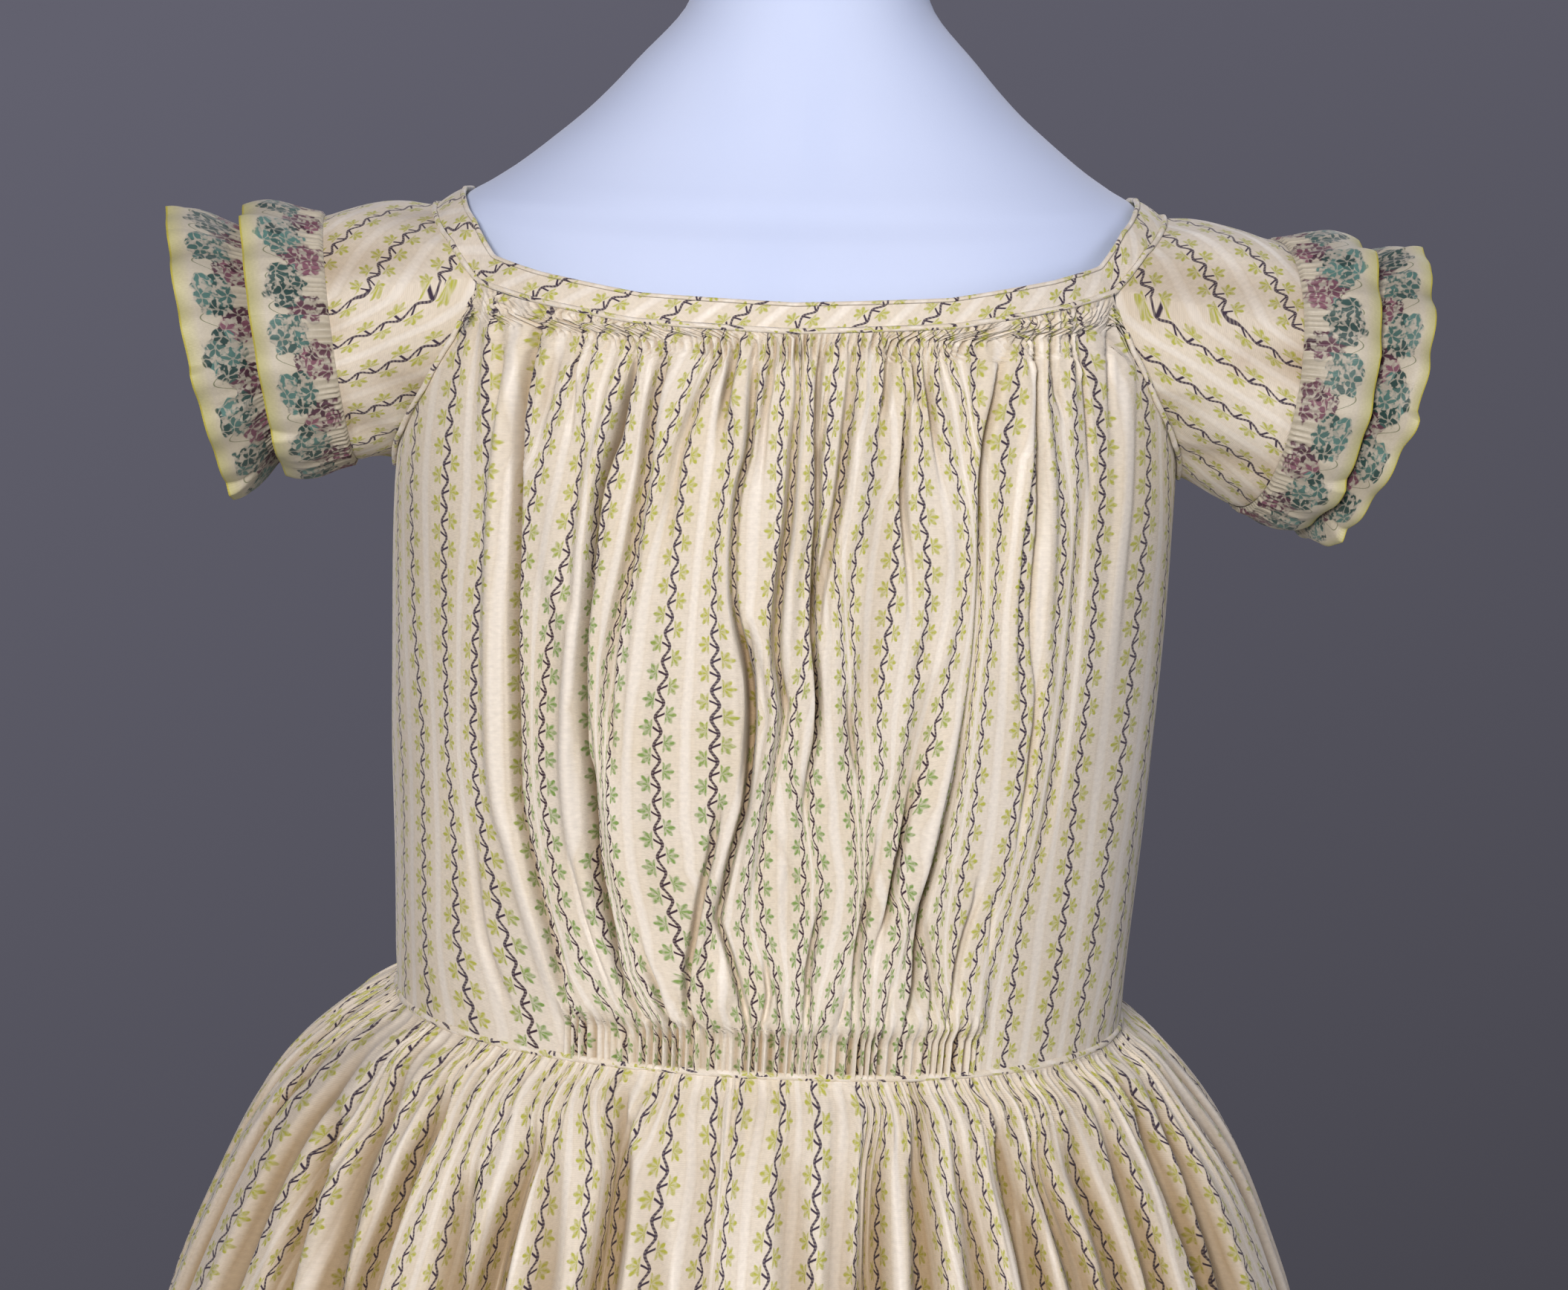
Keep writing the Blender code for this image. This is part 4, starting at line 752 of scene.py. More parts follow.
def skirtKnots(drop):
    # vine numbers and their degrees round the skirt at one height
    relax = smoothStep(drop, *skirt["relaxed"])
    knots = []
    for number, *degrees in skirtVines:
        even = (number - skirt["middleVine"]) * skirt["evenDegrees"]
        knots.append((number, curveValue(drop, [5, 25, 50, 75], degrees) * (1 - relax) + even * relax))
    knots += [(42 + 4.3 * k, (42 + 4.3 * k - skirt["middleVine"]) * skirt["evenDegrees"])
              for k in range(11)]
    return np.array(knots + [(n + 90, d + 360) for n, d in knots if d < -20])


def skirtHeight(degrees, cloth, drop):
    # mm that the skirt stands out from its even outline
    spread = 1 + drop / 150
    fade = 1 - 0.65 * smoothStep(drop, 120, 520)
    total = np.zeros_like(degrees)
    for fold, path in zip(skirtFolds, skirtPaths):
        centre = curveValue(drop, path[:, 1], path[:, 0])
        depth = curveValue(drop, path[:, 1], path[:, 2]) * smoothStep(drop, path[0, 1] - 4, path[0, 1])
        off = turnedTo(degrees, centre - 180) - centre
        total -= skirt["creaseDepth"] * depth * fade * foldWall(off, fold, spread)
    for key, start in (("seamGather", 0.0), ("softGather", 3.0)):
        pitch, size, fadeFrom, fadeTo = skirt[key]
        rise = smoothStep(drop, start - 1, start + 2)
        total += size * gatherWave(cloth, pitch) * rise * fadeOut(drop, fadeFrom, fadeTo)
    # the broad folds that grow toward the hem, eight to a panel
    column = (turnedTo(degrees, -36) + 36) / 72 * 32
    drifted = column + 0.30 * np.sin(1.9 * column)
    uneven = np.interp(column / 4 % 8, range(9), skirt["uneven"] + skirt["uneven"][:1])
    grow = skirt["hemFold"] * (0.25 + 0.75 * smoothStep(drop, 30, 520)) * smoothStep(drop, 60, 300)
    return total + grow * uneven * np.cos(pi / 2 * drifted)


def makeSkirtPanel(index, material):
    name = skirt["panels"][index]
    closeTo, longest = skirt["closeTo"], skirt["at"][-1]
    drops = [*np.linspace(0, 1, skirt["closeRows"]) ** 1.25 * closeTo,
             *np.linspace(closeTo, longest, skirt["wideRows"])[1:]]
    whole = np.linspace(-76, 338, 9000)                # degrees, past both ends of the panels
    fine = np.linspace(72 * index - 36, 72 * index + 36, 2000)
    shares = np.linspace(0, 1, skirt["columns"][index])
    rows = []
    for drop in drops:
        knots = skirtKnots(drop)
        cloth = curveValue(whole, knots[:, 1], knots[:, 0]) * bodice["stripe"]
        height = skirtHeight(whole, cloth, drop)
        turn = np.radians(whole)
        radius = sectionRadius(skirt, drop, turn, body["squareness"]) / mm + height
        radius = radius + skirt["leftFullness"] * np.maximum(0, -np.sin(turn)) * smoothStep(drop, 0, 30)
        x, y = radius * np.sin(turn), -radius * np.cos(turn)
        arc = np.append(0, np.cumsum(np.hypot(np.diff(x), np.diff(y))))
        cloth = curveValue(arc, np.interp(knots[:, 1], whole, arc), knots[:, 0]) * bodice["stripe"]
        arc, cloth, radius, height = [np.interp(fine, whole, part)
                                      for part in (arc, cloth, radius, height)]
        # the columns follow the cloth and the length of its line, half and half
        mix = (0.5 * (cloth - cloth[0]) / (cloth[-1] - cloth[0])
               + 0.5 * (arc - arc[0]) / (arc[-1] - arc[0]))
        at = np.interp(shares, mix, fine)
        turn = np.radians(at)
        z = (waistHeight(turn) - 1.1 * mm * smoothStep(drop, 0, 3) - 0.3 * mm
             - skirt["hemDrop"] * drop / longest)
        rows.append((turn, np.interp(at, fine, radius), z, np.interp(at, fine, cloth),
                     np.interp(at, fine, height)))
    turn, radius, z, cloth, height = [np.array(part) for part in zip(*rows)]
    along = z.copy()
    # mm inward and mm lower, round the hem's fold and up its turning inside
    hem = [(0.35, 0.35), (0.9, 0.2), (1.1, -2), (1.1, -8), (1.1, -15), (1.1, -skirt["turning"])]
    for inward, lower in hem:
        turn = np.vstack([turn, turn[-1]])
        radius = np.vstack([radius, radius[len(drops) - 1] - inward])
        z = np.vstack([z, z[len(drops) - 1] - lower * mm])
        along = np.vstack([along, along[len(drops) - 1] + (lower - 1) * mm])
        cloth, height = np.vstack([cloth, cloth[-1]]), np.vstack([height, height[-1]])
    points = polar(turn, radius * mm, z)[::-1]
    spots = np.exp(-(((cloth - skirtSpot[0]) / 2.2) ** 2 + ((z / mm - skirtSpot[1]) / 1.6) ** 2))
    # painted shade: darker in the creases, more so at the sides, and the sides a little darker all over
    aside = smoothStep(np.abs(np.sin(turn)), 0.35, 0.85)   # the sides' folds shade each other more
    shade = np.clip(-height / bodice["foldShade"] * (1 + 0.5 * aside) + 0.16 * aside, 0, 1)
    piece = makeSheet("cloth_" + name, points, cloth[::-1] * mm, along[::-1],
                      extra={"inFold": shade[::-1], "stain": 0.8 * spots[::-1]})
    finishPiece(piece, material, name)


# Neckband and corded edges
neckband = {
    "columns": 420,
    "rollRadius": 0.8,             # mm, the thin rolled upper edge
    "inside": 6.0,                 # mm that it goes down behind
    "swell": 0.35,                 # mm
    "pucker": (9.3, 0.16),         # mm of the band each, and height
    "round": 580,                  # mm of cloth, from centre back to centre back
    "flat": (0.580, 0.021),
}
cordSteps = {"neck": 520, "waist": 640, "armhole": 110, "round": 14}


def makeNeckband(material):
    angle = np.radians(np.linspace(-179.9, 179.9, neckband["columns"]))[None, :]
    lean = np.radians(neckTable(angle, "neckLean"))
    width = neckTable(angle, "bandWidth")
    start = seam["neckCord"] / mm + 0.1
    roll = neckband["rollRadius"]
    steps = []         # share of the way up, mm further up, mm outward and mm of cloth further on
    for share in np.linspace(0, 1, 9):
        steps.append((share, 0, neckband["swell"] * sin(pi * share), 0))
    for turn, on in zip((-40, -5, 30, 65, 100, 135, 170), (0.7, 1.2, 1.8, 2.4, 3.0, 3.6, 4.2)):
        turn = radians(turn)
        steps.append((1, roll * sin(turn), 0.45 + roll * (cos(turn) - 1), on))
    for down, on in zip(np.linspace(1, neckband["inside"], 5), (5.2, 6.4, 7.6, 8.8, 10.0)):
        steps.append((1, -down, 0.45 - 2.0 * roll, on))
    length = np.degrees(angle) / 360 * neckband["round"]
    pitch, size = neckband["pucker"]
    rows = []
    for share, further, outward, _ in steps:
        pucker = size * gatherWave(length, pitch) * sin(pi * min(1, share + 0.15)) * (further >= 0)
        reach = start + share * (width - roll - start) + further
        out = outward + pucker - 0.25
        base = neckTable(angle, "neckHeights")
        radius = bodyRadius(angle, base) + (out * np.cos(lean) - reach * np.sin(lean)) * mm
        z = base + (reach * np.cos(lean) + out * np.sin(lean)) * mm
        rows.append(polar(angle, radius, z)[0])
    along = np.array([share * 8 + on for share, _, _, on in steps])[:, None]
    piece = makeSheet("cloth_neckband", np.array(rows), (length - along) * mm / sqrt(2),
                      (along + length) * mm / sqrt(2))
    finishPiece(piece, material, "neckband")


def makeCord(name, path, radius, material):
    # a round cord in bias cloth along a path, with small closed ends
    path = np.asarray(path)
    along = np.append(0, np.cumsum(np.linalg.norm(np.diff(path, axis=0), axis=1)))
    tangent = np.gradient(path, axis=0)
    tangent /= np.linalg.norm(tangent, axis=1)[:, None]
    outward = np.cross(tangent, (0, 0, 1))
    outward /= np.linalg.norm(outward, axis=1)[:, None]
    upward = np.cross(outward, tangent)
    count = cordSteps["round"]
    turn = 2 * pi * np.arange(count) / count
    sizes = np.full(len(path), radius)
    sizes = sizes * (1 + 0.05 * np.sin(along / 0.0031) + 0.04 * np.sin(along / 0.0079))
    order = [0] + list(range(len(path))) + [len(path) - 1]
    sizes = np.concatenate([[0.05 * radius], sizes, [0.05 * radius]])
    points = (path[order][:, None] + sizes[:, None, None]
              * (outward[order][:, None] * np.cos(turn)[None, :, None]
                 + upward[order][:, None] * np.sin(turn)[None, :, None]))
    around = np.linspace(0, 2 * pi * radius, count + 1)[None, :]
    down = along[order][:, None]
    piece = makeSheet("cloth_" + name, points, (down + around) / sqrt(2), (down - around) / sqrt(2),
                      closed=True)
    finishPiece(piece, material, name)


def makeCords(material):
    angle = np.radians(np.linspace(-179.9, 179.9, cordSteps["neck"]))
    z = neckTable(angle, "neckHeights")
    makeCord("neck_piping", polar(angle, bodyRadius(angle, z) - 0.1 * mm, z), seam["neckCord"], material)
    angle = np.radians(np.linspace(-179.9, 179.9, cordSteps["waist"]))
    z = waistHeight(angle)
    makeCord("waist_piping", polar(angle, bodyRadius(angle, z) - 0.2 * mm, z), seam["waistCord"], material)
    for name, side in (("left", -1), ("right", 1)):
        degrees = np.linspace(62.5, 117.5, cordSteps["armhole"])
        angle = side * np.radians(degrees)
        steepness = 1 + smoothStep(np.abs(degrees - 90), 8, 20)
        z = armholeHeight(angle) - body["gap"] - 1.7 * seam["armCord"] * steepness
        lift = seam["armCord"] + body["gap"]
        makeCord("armhole_piping_" + name, polar(angle, bodyRadius(angle, z) + lift, z),
                 seam["armCord"], material)


# Sleeves and their ribbon frills
Ring = namedtuple("Ring", "x z radius droop swing")      # droop and swing in degrees
sleeves = {
    "left": {"cuff": Ring(-0.1320, 0.9735, 0.0360, 9.9, -2),
             "innerEdge": Ring(-0.1540, 0.9722, 0.0401, 11.4, -2),
             "hem": Ring(-0.1515, 0.9722, 0.0312, 11, -2),
             "outerEdge": Ring(-0.1722, 0.9682, 0.0430, 15, -2)},
    "right": {"cuff": Ring(0.1360, 0.9678, 0.0390, 5.9, 13),
              "innerEdge": Ring(0.1556, 0.9656, 0.0424, 8.5, 14),
              "hem": Ring(0.1535, 0.9660, 0.0336, 9, 14),
              "outerEdge": Ring(0.1668, 0.9620, 0.0440, 16, 15)},
    "columns": 220,
    "rows": 64,
    "puff": 2.0,                   # mm that the top of the sleeve stands out
    "flat": (0.250, 0.056),
    "bias": 38,                    # degrees that the vines slant, down and outward
    "rust": (0.1268, -0.0365, 0.9760),     # a mark on the right sleeve, and how fast it fades
    "rustSize": 3.2 * mm,
}
# the armhole from the side: turn 0 is its front and 90 the shoulder, and an angle is round the body
armhole = {
    "lowTurns": [-90, -55, -30, -6, 10, 26],
    "lowAngles": [90, 82, 77, 69.5, 65, 61.6],
    "shoulderTurns": [26, 44, 66, 90],
    "shoulderAngles": [61.6, 70, 80, 90],
    "shoulderDrops": [0.312, 0.336, 0.336, 0.336],     # mm under the neckline
    "inside": 0.7,                 # mm that the sleeve starts inside the bodice's edge
}
# a frill's pleats are given by the half waves from its phase, and by their height in mm
frills = {
    "waves": 16,
    "columns": 640,
    "rows": 24,
    "inner": {"rings": ("cuff", "innerEdge"), "wave": 0.6, "phase": 0.3, "flat": (0.270, 0.024),
              "pleats": [(4.2, 3.0), (9.5, 3.8), (18.4, 2.8), (27.2, 3.2)]},
    "outer": {"rings": ("hem", "outerEdge"), "wave": 0.9, "phase": 1.1, "flat": (0.270, 0.024),
              "pleats": [(1.5, 3.6), (7.1, 4.6), (12.8, 3.4), (21.0, 3.8), (26.3, 3.0)]},
    "seamGather": (2.1, 0.55, 0.45),       # mm of ribbon each, height, share of the width
    "seamLift": 1.0,               # mm that the frill starts above the sleeve, from a row sewn flat
    "sewnLift": 0.15,
}


def ringPoints(ring, turn, radius):
    # points round a tilted ring of the sleeve; turn 0 faces the front and a quarter turn is its top
    side = 1 if ring.x > 0 else -1
    droop, swing = radians(ring.droop), radians(ring.swing)
    axis = Vector((side * cos(droop) * cos(swing), cos(droop) * sin(swing), -sin(droop)))
    up = (Vector((0, 0, 1)) - axis * axis.z).normalized()
    front = Vector((0, -1, 0))
    front = (front - axis * front.dot(axis) - up * front.dot(up)).normalized()
    turn, radius = np.broadcast_arrays(turn, radius)
    return (np.array((ring.x, 0, ring.z)) + radius[..., None]
            * (np.array(front) * np.cos(turn)[..., None] + np.array(up) * np.sin(turn)[..., None]))


def headPoints(side, turn):
    # the sleeve's upper edge, round the armhole
    degrees = (np.degrees(turn) + 90) % 360 - 90
    behind = degrees > 90
    quarter = np.where(behind, 180 - degrees, degrees)
    low = quarter <= armhole["lowTurns"][-1]
    angle = np.where(low, np.interp(quarter, armhole["lowTurns"], armhole["lowAngles"]),
                     np.interp(quarter, armhole["shoulderTurns"], armhole["shoulderAngles"]))
    drop = np.interp(quarter, armhole["shoulderTurns"], armhole["shoulderDrops"]) * mm
    angle = np.radians(np.where(behind, 180 - angle, angle))
    z = np.where(low, armholeHeight(angle), neckTable(angle, "neckHeights"))
    radius = bodyRadius(angle, z) - armhole["inside"] * mm
    z = np.where(low, z, z - drop)
    return np.stack([side * radius * np.sin(angle), -radius * np.cos(angle), z], axis=-1)


def makeSleeve(name, side, material):
    rings = sleeves[name]
    columns, rows = sleeves["columns"], sleeves["rows"]
    turn = np.radians(-90 + 360 * np.arange(columns) / columns)
    cuff = ringPoints(rings["cuff"], turn, rings["cuff"].radius)
    hem = ringPoints(rings["hem"], turn, rings["hem"].radius)
    centre = np.array((rings["cuff"].x, 0, rings["cuff"].z))
    outward = (cuff - centre) / np.linalg.norm(cuff - centre, axis=1)[:, None]
    head = headPoints(side, turn)
    lines, shades = [], []
    for share in np.linspace(0, 2, rows):
        if share <= 1:
            fullness = sleeves["puff"] * (0.5 + 0.5 * np.sin(turn)) * sin(pi * share)
            soft = 0.55 * np.sin(5 * turn + 2.2 * share + side) + 0.35 * np.sin(9 * turn - 3 * share)
            soft = soft + 0.35 * np.sin(14 * turn + 2 * share) * share
            held = smoothStep(share, 0, 0.25) * fadeOut(share, 0.86, 1)
            lift = fullness + soft * sin(pi * min(share, 0.75)) * held
            line = head + (cuff - head) * share + outward * lift[:, None] * mm
        else:
            line = cuff + (hem - cuff) * (share - 1)
        lines.append(line)
        # painted shade: darker in the soft folds' troughs and toward the cuff, and a little over the whole
        # sleeve
        shades.append(np.clip(0.12 - 0.35 * soft + 0.25 * smoothStep(share, 0.8, 1), 0, 1))
    points, shade = np.array(lines), np.array(shades)
    step = np.linalg.norm(np.diff(points, axis=0), axis=2)
    down = np.vstack([np.zeros((1, columns)), np.cumsum(step, axis=0)])
    down = np.hstack([down, down[:, :1]])
    around = np.linspace(-0.5, 0.5, columns + 1)[None, :] * sleeves["flat"][0]
    slant = -radians(sleeves["bias"])
    across = around * cos(slant) - down * sin(slant)
    along = around * sin(slant) + down * cos(slant)
    stain = np.zeros((rows, columns))
    if side > 0:
        fromMark = np.linalg.norm(points - np.array(sleeves["rust"]), axis=2)
        stain = 0.9 * np.exp(-(fromMark / sleeves["rustSize"]) ** 2)
    points = leaned(points[..., 0], points[..., 1], points[..., 2])
    piece = makeSheet("cloth_sleeve_" + name, points, across, along, closed=True,
                      extra={"stain": stain, "inFold": shade})
    finishPiece(piece, material, "sleeve_" + name)


def makeFrill(kind, name, material):
    shape = frills[kind]
    seamRing, edgeRing = [sleeves[name][key] for key in shape["rings"]]
    columns, rows = frills["columns"], frills["rows"]
    count = 2 * frills["waves"]
    c = count * np.arange(columns) / columns           # half waves round the frill
    turn = 2 * pi * c / count + shape["phase"]
    ribbon = shape["flat"][0] / mm * np.arange(columns) / columns
    begin = ringPoints(seamRing, turn, seamRing.radius + frills["seamLift"] * mm)
    centre = np.array((seamRing.x, 0, seamRing.z))
    pitch, size, fade = frills["seamGather"]
    gathers = size * gatherWave(ribbon, pitch)
    uneven = 1 + 0.3 * np.sin(2.3 * c + shape["phase"] * 5)
    drift = 0.35 * np.sin(2 * pi * c / 10.7 + shape["phase"] * 3) * np.sin(pi * c / count) ** 0.5
    wave = np.cos(pi * (c + drift)) + 0.30 * np.sin(2 * pi * c * 12 / count + shape["phase"])
    folded = np.zeros(columns)
    for place, deep in shape["pleats"]:
        off = (c - place + count / 2) % count - count / 2
        folded += deep * smoothStep(off, -1.7, 0) * fadeOut(off, 0.0, 0.3)
    lines, shades = [], []
    for share in np.linspace(0, 1, rows):
        swell = 1 + 0.10 * sin(pi * share)
        height = wave * uneven * shape["wave"] * (0.12 + 0.88 * share)
        height += gathers * fadeOut(share, 0.0, fade)
        height += 0.7 * gatherWave(ribbon + 9, 6.3) * fadeOut(share, 0.2, 0.95)
        height += folded * smoothStep(share, 0.3, 1)
        end = ringPoints(edgeRing, turn, edgeRing.radius * swell + height * mm)
        line = begin + (end - begin) * share
        axis = centre + (np.array((edgeRing.x, 0, edgeRing.z)) - centre) * share
        outward = (line - axis) / np.linalg.norm(line - axis, axis=1)[:, None]
        near = gathers * fadeOut(share, 0.0, fade) * (1 - share)
        lines.append(line + outward * near[:, None] * mm)
        # painted shade: darker in the troughs of the gathers by the seam and in the hollows of the waves
        # and pleats
        shades.append(np.clip(0.06 - 0.8 * near - height / 5, 0, 1))
    lines[0] = ringPoints(seamRing, turn, seamRing.radius + frills["sewnLift"] * mm)
    points = np.array(lines)
    points = leaned(points[..., 0], points[..., 1], points[..., 2])
    across = np.linspace(0, shape["flat"][0], columns + 1)[None, :]
    along = np.linspace(0, shape["flat"][1], rows)[:, None]
    piece = makeSheet(f"cloth_frill_{kind}_{name}", points, across, along, closed=True,
                      extra={"inFold": np.array(shades)})
    finishPiece(piece, material, f"frill_{kind}_{name}")


# Form and stand
form = {
    "at": [0.620, 0.628, 0.660, 0.720, 0.778, 0.850, 0.930, 0.975, 0.996, 1.009, 1.016, 1.0205,
           1.0255, 1.033, 1.043, 1.056, 1.0745, 1.095, 1.112, 1.117],
    "halfWidth": [0.096, 0.106, 0.113, 0.108, 0.098, 0.102, 0.105, 0.104, 0.102, 0.101, 0.0972,
                  0.0900, 0.0825, 0.0730, 0.0615, 0.0495, 0.0345, 0.030, 0.029, 0.025],
    "front": [0.082, 0.090, 0.093, 0.088, 0.078, 0.081, 0.080, 0.074, 0.069, 0.064, 0.059, 0.057,
              0.054, 0.050, 0.046, 0.041, 0.036, 0.033, 0.032, 0.028],
    "back": [0.090, 0.099, 0.106, 0.098, 0.076, 0.080, 0.081, 0.076, 0.071, 0.066, 0.061, 0.059,
             0.057, 0.054, 0.050, 0.044, 0.039, 0.035, 0.034, 0.030],
    "squareness": 2.1,
    "columns": 160,
}
# metres: radius and height of each corner, from the axis out and back
stand = {
    "pole": [(0.0005, 0.0163), (0.0125, 0.0163), (0.0125, 0.0166), (0.0125, 0.6194), (0.0125, 0.6197),
             (0.0005, 0.6197)],
    "base": [(0.0005, 0), (0.1470, 0), (0.1491, 0.0009), (0.15, 0.003), (0.15, 0.013),
             (0.1491, 0.0151), (0.1470, 0.016), (0.0005, 0.016)],
    "columns": 144,
}


def makeForm(material):
    levels = []
    for low, high in zip(form["at"], form["at"][1:]):
        levels += list(np.linspace(low, high, 7)[:-1])
    levels = np.array(levels + [form["at"][-1]])[:, None]
    angle = (2 * pi * np.arange(form["columns"]) / form["columns"])[None, :]
    radius = sectionRadius(form, levels, angle, form["squareness"])
    shrink = np.array([0.01, 0.5, 0.9])[:, None]
    radius = np.vstack([radius[:1] * shrink, radius, radius[-1:] * shrink[::-1]])
    z = np.concatenate([[levels[0]] * 3, levels, [levels[-1]] * 3])
    points = polar(angle, radius, z)
    around = np.linspace(0, 0.6, form["columns"] + 1)[None, :]
    piece = makeSheet("form_cover", points, around, z, closed=True)
    finishPiece(piece, material, "form_torso")


def makeTurned(name, profile, node, material):
    turn = (2 * pi * np.arange(stand["columns"]) / stand["columns"])[None, :]
    radius, z = [np.array(part)[:, None] for part in zip(*profile)]
    points = np.stack(np.broadcast_arrays(radius * np.cos(turn), radius * np.sin(turn), z), axis=-1)
    around = np.linspace(0, 0.9, stand["columns"] + 1)[None, :]
    piece = makeSheet(name, points, around, z + radius, closed=True)
    piece.data.set_sharp_from_angle(angle=radians(50))
    finishPiece(piece, material, node)


# Materials
def hexColour(text):
    # sRGB hex to the linear values that the nodes take
    parts = [int(text[i:i + 2], 16) / 255 for i in (0, 2, 4)]
    return tuple(p / 12.92 if p <= 0.04045 else ((p + 0.055) / 1.055) ** 2.4 for p in parts) + (1.0,)


def addNode(tree, kind, settings=None, links=None):
    node = tree.nodes.new(kind)
    for key, value in (settings or {}).items():
        setattr(node, key, value)
    for key, source in (links or {}).items():
        if isinstance(source, bpy.types.NodeSocket):
            tree.links.new(source, node.inputs[key])
        else:
            node.inputs[key].default_value = source
    return node


def startMaterial(name, settings):
    material = bpy.data.materials.new(name)
    material.use_nodes = True
    tree = material.node_tree
    shader = tree.nodes["Principled BSDF"]
    for key, value in settings.items():
        shader.inputs[key].default_value = value
    return material, tree, shader


brocade = {
    "ground": "e4dbcc",
    "worn": "dccdae",
    "satin": "ebe4d8",
    "chartreuse": "b3b548",
    "sageLeaf": "7b9a4e",
    "vine": "392c41",
    "maroon": "341a2d",
    # brown of the painted shade in the folds, also used for the faint line along the satin's edges
    "fold": "ae9a7b",
    "rust": "8a5a32",
    "repeat": 8.1,                 # mm up a vine from one leaf pair to the next
    "vinePhase": 0.91,
    "leafLift": 1.9,               # mm
    "rib": 0.45,                   # mm from weft rib to weft rib
    "noises": {                    # threads 1.1 mm apart, coarser than the real ones, so that they show
        "thread": {"Scale": 900.0, "Detail": 2.0},
        "slub": {"Scale": 260.0, "Detail": 1.0},
        "age": {"Scale": 22.0, "Detail": 4.0, "Roughness": 0.6},
    },
    "shader": {"Roughness": 0.7, "Sheen Weight": 0.25, "Sheen Roughness": 0.4, "IOR": 1.5,
               "Specular IOR Level": 0.35},
}


